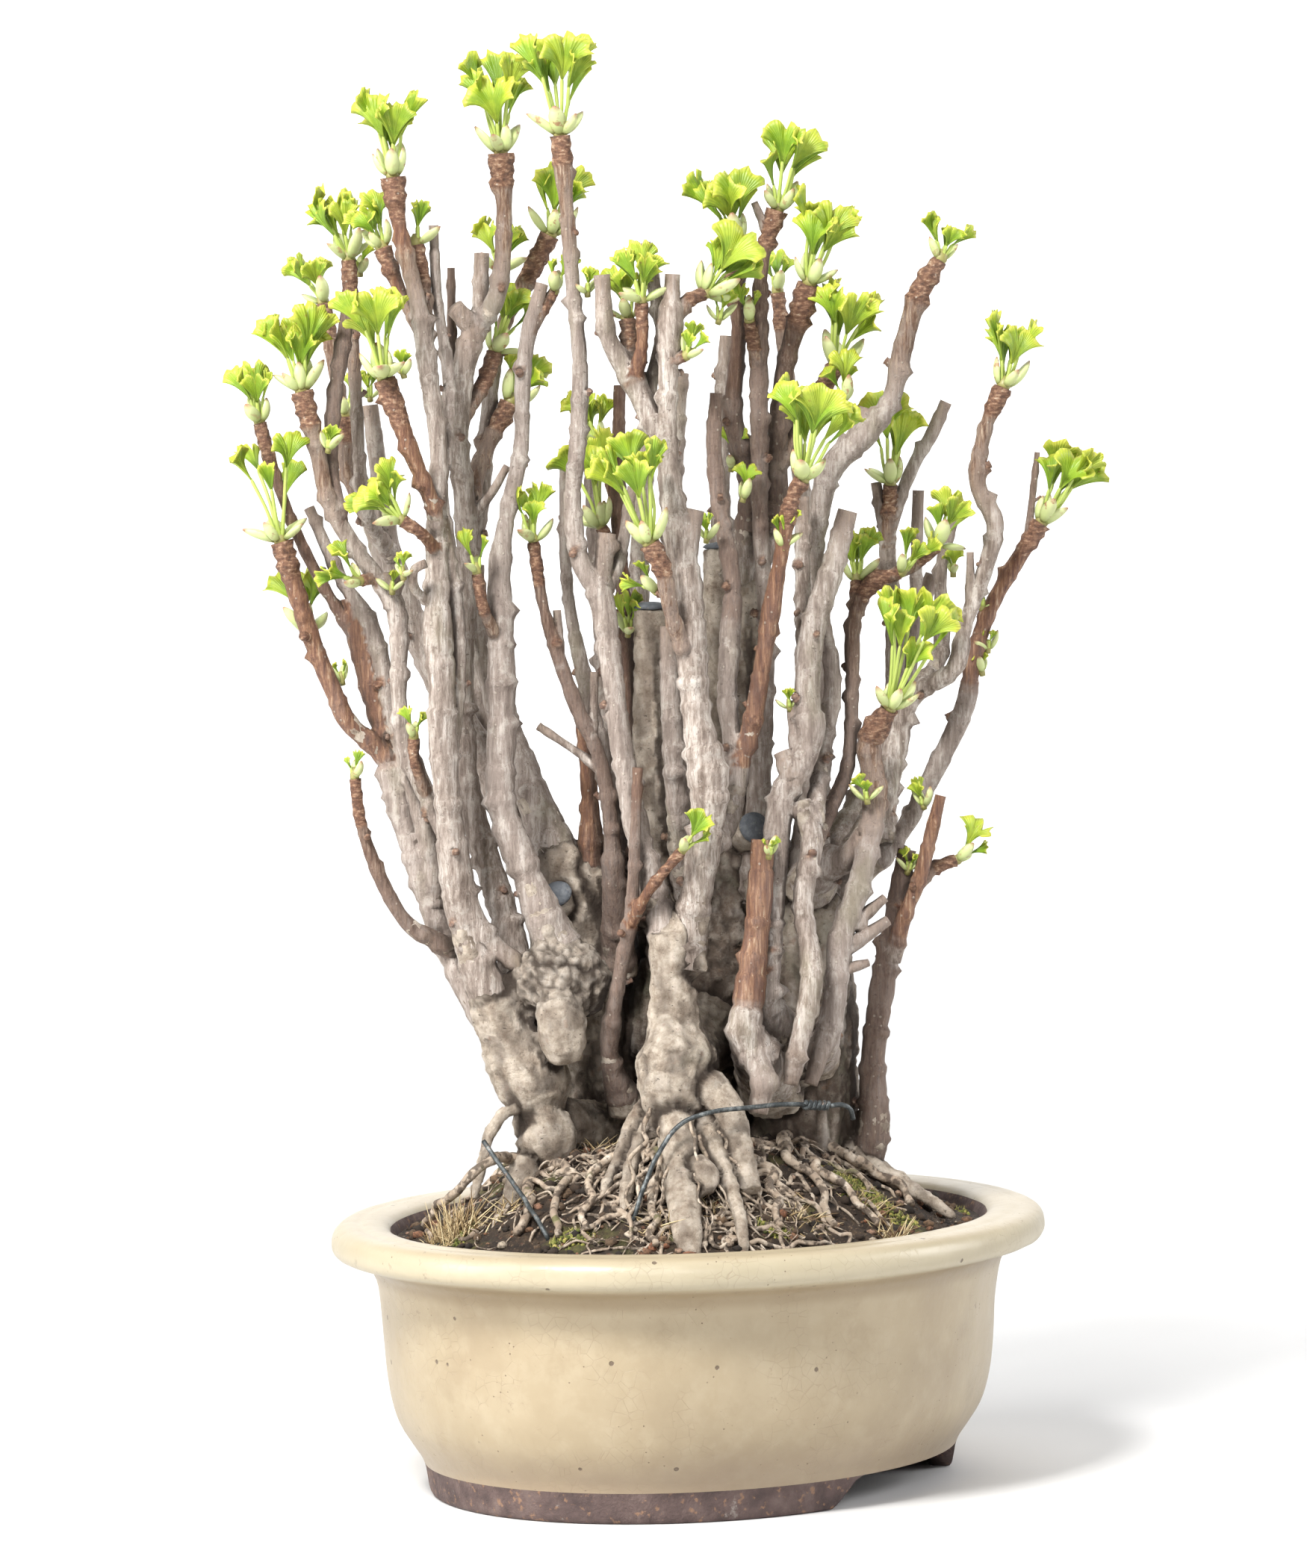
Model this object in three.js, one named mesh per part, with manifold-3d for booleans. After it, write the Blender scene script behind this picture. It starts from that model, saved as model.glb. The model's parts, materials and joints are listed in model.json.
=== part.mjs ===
// A ginkgo bonsai in early spring: an old stump that has thrown up many stems, each ending in a
// tuft of unfolding fan leaves, standing on its own roots in an oval glazed pot.
// Millimetres, +Z up, +X along the pot's long axis, the pot's foot on z = 0 and the pot's middle at
// x = y = 0 until the last lines.
import * as THREE from "three";
import { mergeVertices } from "three/addons/utils/BufferGeometryUtils.js";
import Module from "manifold-3d";

const wasm = await Module();
wasm.setup();

// Pot
const POT_HALF_LENGTH = 150; // outside of the lip, along X
const POT_HALF_WIDTH = 122; // outside of the lip, along Y
const POT_HEIGHT = 95.5;
const POT_SIDES = 28;
const WALL_INSET = 23; // top of the inner wall, in from the lip's outline
const FLOOR_UNDERSIDE = 12;
const FLOOR_TOP = 19;
const FOOT_INSET = 34; // outer face of the foot ring, in from the lip's outline
const FOOT_THICK = 8;
const FOOT_GAP = 118; // length of the gap in the foot on each long side, at the ground
const FOOT_GAP_SLOPE = 11; // how far each end of that gap leans in at its top
const DRAIN_RADIUS = 11;
const DRAIN_OFFSET = 48; // of each drain hole, along X

// Soil, which lies in the pot up to an oval edge and heaps up under the tree
const SOIL_EDGE = 90;
const MOUND_RISE = 31;
const MOUND_FLAT = 0.4; // share of the soil's oval that the top of the mound takes
const SOIL_RINGS = 5;

// Trims
const CLEAR = 0.35; // left between two pieces that touch
const WIRE_RADIUS = 1.2;
const MESH_SIZE = 32;
const MESH_THICK = 0.8;
const PASTE_THICK = 2.4;
const LEAF_THICK = 0.9;
const PETIOLE_WIDTH = 1.7;
const SCALE_SHARE = 22; // height of bunch that goes with each bud scale

const SOIL_LENGTH = POT_HALF_LENGTH - WALL_INSET - CLEAR;
const SOIL_WIDTH = POT_HALF_WIDTH - WALL_INSET - CLEAR;

// The front of the tree faces a viewer who stands this far off and this high, with the pot's
// long axis turned away to the right.
const FRONT_TURN = THREE.MathUtils.degToRad(67);
const EYE_DISTANCE = 3012;
const EYE_HEIGHT = 431.4;
const EYE_ACROSS = -11.5;
const ROOT_LIFT = 0.9; // of a thin root's underside above the mound
const STEM_STEP = 46; // length of stem between two of its rings

const UP = new THREE.Vector3(0, 0, 1);

// Colours, one material for each kind of surface
const GLAZE = finish(0xdccfae, 0.35);
const EARTH = finish(0x3b2a1e, 0.95);
const BARK = finish(0xb0a294, 0.85);
const WIRE = finish(0x8b9296, 0.5, 0.8);
const PASTE = finish(0x4a4e54, 0.75);
const PLASTIC = finish(0x2a2c2a, 0.6);
const LEAF = finish(0x8cc621, 0.5);

// The stems and the old wood. Each point is [across, height, depth, radius] as the viewer at the
// front sees it: across and height on the upright plane through the middle of the pot, depth behind
// that plane. Each first point lies inside what the stem grows from.
const OLD_WOOD = {
  old_trunk: [[2, 100, 22, 32], [4, 150, 22, 30], [6, 190, 20, 26], [12, 215, 18, 19],
    [15, 240, 18, 14], [17, 280, 19, 12], [17, 330, 20, 10.5]],
  right_trunk: [[38, 100, 5, 21], [40, 150, 5, 20], [42, 190, 8, 17], [44, 216, 10, 12]],
  left_trunk_back: [[-33, 100, 15, 19], [-38, 150, 12, 17], [-38, 190, 8, 14], [-42, 215, 8, 11],
    [-48, 228, 10, 8]],
  left_trunk: [[-57, 96, -32, 9], [-54, 114, -32, 9], [-53, 126, -34, 11], [-55, 138, -34, 13.6],
    [-59, 150, -33, 13], [-66, 162, -32, 9.5], [-73, 178, -32, 7.2]],
  front_trunk: [[-6, 124, -60, 10], [-5, 140, -58, 13], [-4, 148, -54, 15], [-5, 162, -50, 9.4],
    [-5, 175, -49, 8.4], [-5, 194, -48, 9.6]],
  sawn_stub: [[-6, 195, 0, 10], [-10, 230, -12, 7.2], [-12, 255, -13, 6.6], [-12, 309, -13, 6]],
  pale_stub_left: [[-38, 195, 8, 9], [-34, 204, 4, 6.4], [-34, 216, 3, 6]],
  paste_stub_left: [[-42, 198, 6, 8], [-46, 208, -6, 5.6]],
  paste_stub_right: [[14, 222, 18, 9], [24, 231, -4, 6]],
  left_join: [[-54, 128, -34, 11], [-34, 128, -14, 14], [0, 128, 12, 16]],
  front_join: [[-5, 146, -54, 11], [-2, 150, -30, 13], [4, 160, 6, 18]],
  left_lobe: [[-46, 172, -40, 7.5], [-45, 163, -46, 9], [-44, 155, -47, 8.4], [-43, 149, -46, 5.6]],
};

const PASTED = {
  wound_paste_top: OLD_WOOD.old_trunk,
  wound_paste_stub: OLD_WOOD.sawn_stub,
  wound_paste_left: OLD_WOOD.paste_stub_left,
  wound_paste_right: OLD_WOOD.paste_stub_right,
};

const BURL = { at: [-45, 178, -31], half: [18, 14, 15] };

const STEMS = {
  // left side
  left_leader: [[-70, 172, -32, 7], [-77, 192, -33, 6], [-82, 219, -36, 5.5], [-85, 250, -38, 4.8],
    [-86, 267, -38, 5], [-86, 285, -38, 4.6], [-87, 300, -38, 5], [-87, 316, -38, 4.6], [-87, 340, -36, 3.6],
    [-86, 365, -36, 3.2], [-89, 390, -35, 3.4], [-93, 418, -33, 3.1], [-99, 445, -32, 2.7],
    [-101, 462, -32, 3.8]],
  left_leader_arm: [[-82, 218, -36, 3.6], [-75, 200, -36, 3.6], [-68, 190, -35, 3.4], [-57, 182, -33, 3.2]],
  left_outer: [[-62, 154, -30, 6], [-70, 164, -27, 6], [-82, 185, -22, 5.4], [-92, 210, -18, 4.8],
    [-100, 236, -14, 4.6], [-103, 248, -13, 5.2], [-107, 269, -11, 4.3], [-114, 296, -10, 4.3],
    [-118, 314, -10, 3.4]],
  left_outer_twig: [[-117, 302, -10, 3], [-126, 316, -12, 2], [-136, 336, -14, 2], [-144, 358, -16, 1.9],
    [-147, 368, -16, 2.4], [-149, 376, -16, 2.2]],
  left_copper: [[-104, 256, -12, 4], [-110, 262, -14, 3.6], [-119, 270, -17, 3.4], [-124, 281, -18, 3.2],
    [-131, 298, -20, 3.1], [-138, 320, -22, 3.2], [-142, 334, -22, 3.7]],
  left_low_twig: [[-83, 188, -24, 3.4], [-90, 193, -28, 3.2], [-96, 196, -30, 3], [-101, 201, -32, 2.4],
    [-109, 216, -34, 2.5], [-115, 234, -36, 1.9], [-117, 250, -36, 1.8]],
  left_grey_a: [[-81, 216, -35, 4], [-84, 227, -30, 3.4], [-90, 240, -27, 3.2], [-99, 263, -24, 3.2],
    [-101, 278, -24, 3], [-101, 304, -24, 3.2], [-103, 313, -24, 3.6], [-115, 330, -24, 2.8],
    [-125, 348, -24, 3], [-129, 367, -24, 2.9], [-134, 387, -24, 3.5]],
  left_grey_a_stub: [[-103, 310, -24, 3.4], [-104, 323, -24, 3.2]],
  left_grey_b: [[-89, 204, -20, 4.2], [-91, 228, -18, 4], [-96, 246, -16, 3.8], [-105, 280, -13, 3.6],
    [-111, 304, -12, 3.4], [-121, 321, -11, 2.4], [-132, 346, -8, 2]],
  left_high_stub: [[-121, 341, -24, 2.8], [-124, 360, -18, 2.7], [-123, 380, -17, 2.7], [-117, 417, -16, 2.7]],
  left_rear: [[-40, 198, 10, 8], [-55, 225, 22, 6.5], [-66, 245, 28, 6], [-86, 285, 34, 5],
    [-102, 325, 30, 4], [-108, 365, 26, 3], [-110, 382, 26, 2.8]],
  left_rear_twig: [[-101, 322, 30, 3.4], [-112, 345, 32, 3.2], [-118, 360, 32, 3.6], [-119, 378, 32, 3.4]],
  left_rear_high: [[-103, 328, 28, 3], [-112, 346, 10, 2.6], [-115, 385, 6, 2.2], [-117, 433, 6, 2.6]],
  left_spur_a: [[-91, 406, -34, 2.6], [-98, 420, -26, 2.3], [-105, 437, -24, 2.8]],
  left_spur_b: [[-90, 402, -34, 2.6], [-90, 418, -22, 2.3], [-93, 438, -20, 2.6]],
  left_dead_stick: [[-84, 360, -34, 2.4], [-82, 388, -22, 2.3], [-86, 420, -18, 1.8], [-87, 445, -18, 1.7]],
  left_fan_spur: [[-87, 330, -37, 2.2], [-93, 337, -47, 2], [-99, 341, -48, 2.2]],
  left_brown: [[-87, 334, -36, 3], [-88, 345, -42, 2.8], [-96, 366, -47, 2.9], [-105, 391, -48, 3.6]],
  left_hook: [[-89, 312, -38, 2], [-95, 317, -45, 1.7], [-95, 324, -50, 1.7], [-91, 326, -51, 1.6]],
  left_second: [[-84, 256, -37, 3], [-81, 275, -33, 2.8], [-80, 305, -32, 2.6], [-83, 326, -34, 2.8],
    [-86, 342, -36, 3]],
  left_thin: [[-91, 242, -27, 2.2], [-96, 257, -32, 1.8], [-96, 264, -33, 1.9]],
  left_arm_spur: [[-108, 321, -24, 2], [-114, 320, -30, 2]],
  left_side_spur: [[-130, 297, -20, 2.4], [-133, 303, -10, 2]],
  left_mid: [[-56, 150, -20, 8], [-62, 190, -8, 6], [-66, 206, -6, 5], [-77, 245, 0, 4.5], [-79, 285, 3, 4.2],
    [-76, 325, 0, 4], [-78, 357, -5, 3.9], [-80, 367, -6, 4.6], [-77, 395, -6, 4.2], [-72, 411, -6, 4.4]],
  left_mid_knob: [[-73, 408, -6, 4], [-80, 416, -10, 3.2]],
  left_mid_stub: [[-71, 408, -6, 3.4], [-70, 435, -4, 2.6]],
  left_mid_tall: [[-72, 409, -6, 3.8], [-65, 420, -11, 3.2], [-62, 447, -12, 3], [-63, 470, -12, 3.9]],
  left_mid_twig: [[-80, 382, -4, 2.2], [-81, 405, 4, 1.6], [-81, 430, 4, 1.4]],
  left_mid_spur: [[-72, 407, -4, 3], [-66, 418, 6, 2.4], [-64, 428, 10, 2.2]],
  left_mid_wrinkled: [[-78, 376, -6, 3], [-69, 391, 3, 2.6], [-66, 400, 5, 2.8]],
  left_mid_dark: [[-75, 341, 0, 3], [-72, 360, 8, 2.8], [-61, 382, 12, 3.2]],
  left_mid_broken: [[-75, 342, -1, 2.4], [-68, 350, -4, 1.6], [-62, 360, -5, 1.4]],
  left_mid_rear: [[-78, 312, 3, 3.4], [-72, 345, 12, 3.2], [-64, 405, 18, 2.6], [-53, 428, 17, 3.2],
    [-46, 441, 16, 3.4]],
  left_inner: [[-44, 184, -30, 9], [-48, 194, -30, 7.5], [-57, 217, -30, 5.6], [-65, 240, -30, 5.3],
    [-65, 269, -28, 5.2], [-65, 300, -27, 4.9], [-65, 325, -25, 3.8], [-62, 343, -24, 3.1],
    [-57, 366, -22, 2.8], [-56, 392, -22, 2.8], [-54, 406, -22, 2.8], [-49, 424, -20, 2.3]],
  left_inner_spur: [[-52, 409, -22, 2.2], [-45, 421, -18, 2]],
  left_inner_bud: [[-66, 299, -28, 2.4], [-71, 310, -37, 1.9], [-73, 322, -38, 1.8]],
  left_back: [[-45, 222, 9, 8], [-52, 238, 12, 6.5], [-64, 270, 16, 5.2], [-73, 305, 20, 4.2],
    [-74, 325, 22, 3.6]],
  // middle
  mid_stem: [[-6, 184, -47, 7], [-9, 200, -46, 5.4], [-16, 225, -42, 4.5], [-22, 255, -38, 4],
    [-26, 288, -34, 3.7], [-30, 315, -31, 4.4], [-36, 325, -32, 3.4], [-39, 345, -33, 3.2], [-37, 368, -33, 3],
    [-36, 395, -33, 2.7], [-38, 420, -33, 2.6], [-40, 450, -33, 2.6], [-42, 476, -33, 3.4]],
  mid_stem_stub: [[-30, 313, -31, 3.8], [-27, 336, -30, 3.1]],
  mid_stem_arm: [[-30, 314, -31, 3.4], [-24, 323, -27, 2.4], [-18, 352, -20, 1.8]],
  mid_main: [[-2, 182, -48, 8], [0, 192, -48, 6.8], [4, 213, -50, 5.6], [8, 238, -51, 6.2], [8, 249, -51, 7.6],
    [4, 272, -50, 5], [2, 302, -48, 5.5], [1, 318, -47, 5.1], [-2, 336, -46, 5.6], [-5, 357, -44, 4],
    [-5, 385, -42, 3.3], [-4, 408, -42, 4.6], [-3, 427, -42, 2.7]],
  mid_main_stub: [[0, 326, -46, 4.4], [4, 344, -46, 3.4]],
  mid_main_arm: [[-4, 410, -42, 3.2], [3, 418, -38, 2.4], [8, 420, -36, 2.4]],
  mid_main_spur: [[-5, 396, -42, 2.6], [1, 398, -45, 2]],
  mid_fork: [[-4, 360, -43, 4], [-10, 374, -40, 4], [-19, 393, -36, 4.4], [-26, 405, -38, 3.1],
    [-28, 427, -38, 3]],
  mid_fork_back: [[-17, 389, -37, 3.8], [-18, 402, -32, 3.2], [-19, 411, -30, 3.2]],
  mid_fork_copper: [[-17, 390, -37, 3], [-14, 402, -42, 2.1], [-14, 417, -44, 2.1]],
  mid_behind_stub: [[-5, 392, -41, 2.8], [-8, 415, -30, 2.4], [-13, 438, -28, 2.4]],
  mid_thin: [[-6, 366, -42, 2.6], [-11, 380, -34, 2.2], [-8, 402, -34, 2.1], [-5, 411, -41, 2.2]],
  mid_leaf_spur: [[1, 292, -49, 3.2], [-4, 305, -56, 2.7], [-8, 324, -61, 2.9], [-12, 332, -62, 3.2]],
  mid_left_spur: [[2, 312, -47, 3], [-9, 315, -40, 1.8]],
  front_thin: [[-22, 132, -20, 6], [-28, 152, -33, 3.4], [-24, 180, -42, 2.4], [-20, 200, -48, 2.6],
    [-19, 215, -50, 2.1], [-17, 253, -50, 1.7]],
  front_copper_twig: [[-20, 198, -48, 2.6], [-13, 210, -57, 1.8], [-2, 223, -61, 1.7]],
  thin_dark: [[-24, 180, 0, 6], [-26, 212, -14, 4], [-27, 236, -17, 2.6], [-31, 258, -19, 2.6],
    [-38, 274, -21, 2.8], [-45, 294, -23, 2.5], [-50, 312, -24, 1.9], [-53, 333, -24, 2]],
  thin_dark_bud: [[-44, 290, -23, 2], [-45, 309, -22, 1.4]],
  thin_dark_fork: [[-33, 264, -20, 2], [-32, 287, -18, 1.5]],
  dead_stick: [[-30, 252, -18, 2], [-36, 257, -16, 1.5], [-52, 268, -13, 1.5]],
  pale_thin: [[-22, 195, 2, 6], [-27, 245, -2, 3.8], [-34, 278, 2, 3], [-41, 315, 4, 2.1], [-42, 366, 4, 1.8]],
  brown_stub: [[-33, 200, 6, 6], [-34, 228, 6, 4.4], [-34, 240, 6, 2.9], [-36, 268, 6, 2.7]],
  copper_back: [[-14, 200, 0, 6], [-18, 250, -8, 3.2], [-20, 295, -5, 2.7], [-23, 335, -3, 2.6],
    [-22, 388, 2, 2.2]],
  copper_back_a: [[-21, 320, -4, 2.4], [-26, 332, -8, 2], [-29, 338, -9, 2]],
  copper_back_b: [[-23, 345, -2, 2.4], [-27, 360, 2, 2], [-30, 368, 4, 2]],
  mid_rear_stub: [[0, 205, -6, 6], [-3, 235, -25, 3.9], [-5, 272, -28, 3.6], [-6, 303, -28, 2.8]],
  mid_twin: [[8, 226, -48, 5.6], [14, 235, -38, 5], [18, 252, -34, 4.4], [15, 275, -33, 3.3], [16, 299, -31, 4],
    [17, 318, -29, 3], [13, 343, -27, 2.8], [11, 366, -26, 2.8], [12, 385, -26, 2.2]],
  mid_copper: [[17, 250, -34, 4], [23, 266, -36, 3.4], [28, 292, -40, 3.1], [30, 304, -41, 3.4],
    [34, 326, -44, 2.6], [39, 349, -47, 2.6], [42, 354, -48, 3]],
  // right side
  right_tall: [[24, 205, 6, 8], [26, 250, 4, 4], [29, 300, 0, 3], [27, 340, -4, 2.8], [27, 358, -6, 3],
    [27, 389, -9, 3.4], [29, 433, -12, 2.5], [34, 449, -12, 3.4]],
  right_tall_dead: [[31, 440, -12, 2], [26, 452, -12, 1.3]],
  right_tall_spur: [[27, 392, -9, 2.6], [24, 410, -16, 2]],
  right_brown: [[18, 318, 16, 6], [24, 350, 8, 4.2], [22, 363, 2, 4.4], [18, 374, -2, 3.8], [20, 405, -6, 2.5],
    [19, 437, -10, 2.8]],
  right_dark: [[28, 325, -2, 3], [33, 345, 8, 4], [33, 362, 6, 3.8], [36, 392, -2, 3.2], [45, 423, -10, 3.8]],
  right_dark_arm: [[33, 358, 6, 3.6], [40, 372, 8, 3], [47, 382, 4, 2.8], [54, 394, -2, 2.8]],
  sawn_brown: [[30, 140, -14, 11], [23, 152, -50, 8], [20, 160, -54, 7], [21, 168, -53, 5.4],
    [25, 200, -50, 4.5], [27, 227, -48, 4.2]],
  brown_leg: [[22, 152, -53, 6], [26, 142, -59, 4], [24, 130, -60, 3.4]],
  right_main: [[32, 150, -16, 14], [27, 172, -42, 5.6], [29, 192, -43, 4.5], [34, 240, -38, 4.8],
    [43, 260, -36, 5.2], [44, 266, -36, 5.6], [43, 276, -35, 4.5], [45, 300, -33, 4.4], [53, 325, -31, 4.2],
    [58, 343, -30, 3.4]],
  right_main_knot: [[38, 248, -38, 4.6], [34, 258, -36, 3.2]],
  right_main_stub: [[40, 254, -36, 3.4], [38, 276, -32, 2.3]],
  right_aerial: [[40, 240, -38, 4], [44, 228, -41, 4], [41, 205, -45, 3.6], [44, 178, -50, 4],
    [38, 150, -52, 3.5], [36, 140, -52, 2.6]],
  right_outer: [[44, 150, -12, 9], [48, 154, -32, 5], [52, 172, -36, 4.2], [54, 191, -32, 4.4],
    [61, 211, -28, 3.9], [67, 243, -22, 4.2], [65, 261, -20, 4.6], [72, 273, -26, 3.2]],
  right_outer_leg: [[52, 170, -34, 4.4], [46, 150, -40, 3.2], [43, 140, -42, 2.4]],
  right_arm: [[42, 208, 2, 9], [50, 218, -12, 6.5], [57, 220, -18, 5.4], [63, 228, -24, 4]],
  right_zigzag: [[58, 218, -14, 6], [67, 236, -4, 5.5], [73, 258, 2, 5], [80, 277, 0, 3.5], [95, 287, -6, 3.4],
    [99, 302, -7, 2.8], [107, 324, -5, 2.9], [110, 338, -5, 3.3], [104, 352, -5, 3], [107, 372, -5, 2.4],
    [113, 386, -5, 3.2]],
  right_zigzag_stub: [[101, 310, -6, 2], [101, 328, -6, 1.3]],
  far_right: [[50, 208, 8, 8], [66, 219, 8, 4.8], [77, 231, 11, 3.2], [88, 251, 12, 3.4], [99, 274, 12, 3.6],
    [102, 290, 12, 3], [108, 308, 12, 2.8], [122, 332, 12, 2.9], [126, 338, 12, 3.2]],
  far_right_stick: [[121, 329, 12, 1.6], [125, 363, 12, 1]],
  right_shoot: [[60, 104, 0, 7], [65, 124, -4, 6], [65, 148, -4, 4.4], [69, 176, -4, 4.3], [74, 202, -4, 3.6],
    [78, 223, -3, 3.3]],
  right_shoot_fork: [[72, 184, -5, 3.4], [77, 200, -9, 2.5], [82, 212, -10, 2.6], [90, 242, -10, 2.2]],
  right_shoot_spur: [[81, 210, -9, 2.6], [87, 216, -4, 2.2], [95, 219, -2, 2]],
  right_thin: [[43, 222, -40, 3.4], [50, 236, -24, 3], [57, 252, -17, 2.5], [59, 280, -15, 2.5],
    [60, 305, -13, 2.8], [66, 317, -13, 2.8], [76, 321, -15, 2.2]],
  right_thin_spur: [[61, 306, -13, 2.6], [61, 318, -9, 2.3]],
  right_thin_arm: [[73, 320, -14, 2.4], [80, 323, -12, 2.1], [89, 330, -10, 2.1]],
  crooked: [[44, 205, 8, 10], [44, 240, 8, 5.4], [46, 290, 5, 4], [46, 325, -2, 3.2], [52, 357, -6, 4.4],
    [63, 369, -8, 5], [73, 381, -8, 3.5], [78, 401, -8, 3.4], [84, 420, -8, 3.4], [91, 431, -8, 2.6]],
  crooked_stub: [[61, 366, -7, 4.2], [65, 379, -6, 3.6]],
  right_pale_a: [[43, 286, -34, 4], [42, 305, -22, 2.8], [42, 348, -16, 2.6]],
  right_pale_b: [[45, 232, -40, 3.4], [48, 255, -24, 3], [52, 282, -18, 3], [48, 310, -16, 2.5]],
  right_tall_cut: [[68, 226, -6, 5], [73, 262, 10, 3.6], [74, 305, 16, 3.4], [72, 332, 16, 2.8],
    [82, 360, 16, 2.2], [87, 368, 16, 2.6], [93, 381, 16, 2.2]],
  right_tall_cut_spur: [[72, 330, 16, 2.6], [73, 352, 13, 2.4]],
  right_tall_cut_twig: [[73, 322, 16, 2.8], [68, 353, 17, 1.9]],
  right_rear_a: [[74, 262, 8, 4], [80, 290, 24, 2.4], [83, 350, 26, 2.1]],
  right_rear_b: [[82, 279, -1, 3.2], [90, 292, 12, 3], [91, 324, 14, 2.2], [96, 342, 14, 2]],
  right_ridged_a: [[58, 196, -30, 3], [70, 206, -27, 1.6]],
  right_ridged_b: [[56, 188, -32, 3], [71, 198, -28, 2]],
  right_ridged_c: [[53, 180, -34, 3], [64, 183, -31, 1.6]],
  // behind
  rear_a: [[14, 215, 24, 10], [22, 260, 40, 5.5], [14, 320, 54, 3.8], [14, 380, 60, 2.8], [16, 405, 62, 2.6]],
  rear_b: [[0, 205, 26, 10], [-10, 255, 42, 5], [-16, 315, 56, 3.6], [-12, 372, 62, 2.8]],
  rear_c: [[-40, 205, 16, 8], [-62, 245, 40, 5], [-78, 300, 54, 3.8], [-86, 360, 60, 2.8], [-84, 385, 62, 2.5]],
  rear_d: [[-56, 238, 34, 5], [-80, 270, 38, 4.4], [-102, 315, 42, 3.4], [-118, 372, 44, 2.6], [-126, 418, 44, 2.4]],
  rear_e: [[40, 200, 14, 10], [46, 245, 38, 5], [48, 305, 52, 3.6], [40, 365, 58, 2.8], [34, 420, 60, 2.4]],
  rear_f: [[44, 208, 14, 8], [66, 250, 34, 4.6], [82, 305, 46, 3.4], [88, 320, 48, 2.8]],
  rear_g: [[8, 215, 30, 9], [2, 270, 52, 4.6], [-4, 335, 68, 3.4], [0, 392, 74, 2.6]],
  rear_h: [[-14, 195, 32, 9], [-24, 250, 50, 4.6], [-30, 315, 70, 3.4], [-33, 372, 76, 2.6]],
};

// The thick roots, in the same terms
const THICK_ROOTS = {
  front_root: [[-6, 136, -58, 10], [-4, 121, -69, 7.8], [-3, 110, -77, 6.8], [-2, 97, -89, 6], [-1, 88, -98, 5.4],
    [0, 78, -108, 4]],
  front_root_bulb: [[-2, 112, -74, 6], [5, 108, -82, 5.4], [5, 101, -84, 4]],
  front_leg_right: [[2, 142, -58, 9], [12, 132, -63, 7], [17, 118, -68, 5.4], [22, 102, -78, 4]],
  front_leg_small: [[6, 124, -66, 5], [13, 108, -78, 3], [18, 90, -95, 2.6], [19, 80, -102, 2]],
  front_leg_left: [[-10, 138, -56, 6], [-19, 128, -58, 3.4], [-25, 115, -66, 2.6], [-30, 104, -74, 2.2],
    [-32, 92, -80, 2]],
  front_leg_far: [[-8, 132, -58, 6], [-18, 120, -64, 3], [-22, 105, -77, 2.8], [-24, 92, -86, 2]],
  left_root_arc: [[-56, 132, -40, 5], [-64, 132, -44, 2.6], [-70, 125, -46, 2.4], [-74, 112, -50, 2.2],
    [-77, 100, -52, 2]],
  left_root: [[-56, 114, -38, 7], [-62, 104, -52, 4], [-67, 94, -60, 2.6], [-70, 86, -68, 2]],
  right_root: [[58, 112, -4, 8], [72, 106, -8, 4], [84, 99, -12, 2.6], [94, 92, -16, 2]],
};

// Thin roots: where each leaves the wood, then [across, height, radius] of its points on the mound
const THIN_ROOTS = [
  [[-56, 114, -34], [-72, 114, 2.2], [-84, 103, 1.9], [-94, 91, 1.5]],
  [[-56, 112, -36], [-58, 100, 2.3], [-62, 88, 1.8]],
  [[-54, 114, -36], [-44, 110, 2], [-48, 98, 1.8], [-47, 87, 1.5]],
  [[-4, 118, -70], [-32, 112, 2], [-36, 100, 1.8], [-37, 88, 1.5]],
  [[-3, 112, -75], [-13, 104, 2], [-14, 92, 1.8], [-11, 83, 1.5]],
  [[2, 120, -68], [25, 112, 2.2], [31, 102, 1.9], [32, 90, 1.6]],
  [[36, 122, -8], [33, 116, 2.4], [43, 108, 2.1], [49, 98, 1.9], [52, 90, 1.6]],
  [[42, 120, -4], [58, 113, 2.4], [70, 106, 2.1], [78, 98, 1.7]],
  [[40, 118, -8], [48, 108, 2], [60, 97, 1.8], [66, 90, 1.5]],
];
const BACK_ROOT_RADIUS = 1.9;
const BACK_ROOTS = 9; // more of the same kind round the sides and the back, by a rule

// The two tie wires, as the viewer sees them
const WIRES = {
  tie_wire_left: [[-73, 121, -58], [-69, 115, -62], [-60, 102, -73], [-55, 94, -84], [-51, 87, -90], [-49, 82, -88]],
  tie_wire_front: [[-23, 83, -84], [-20, 93, -92], [-16, 105, -88], [-12, 114, -86], [-8, 121, -84], [-2, 127, -82],
    [8, 130.5, -80], [22, 132, -74], [34, 133, -68], [46, 132.5, -62]],
};

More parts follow.
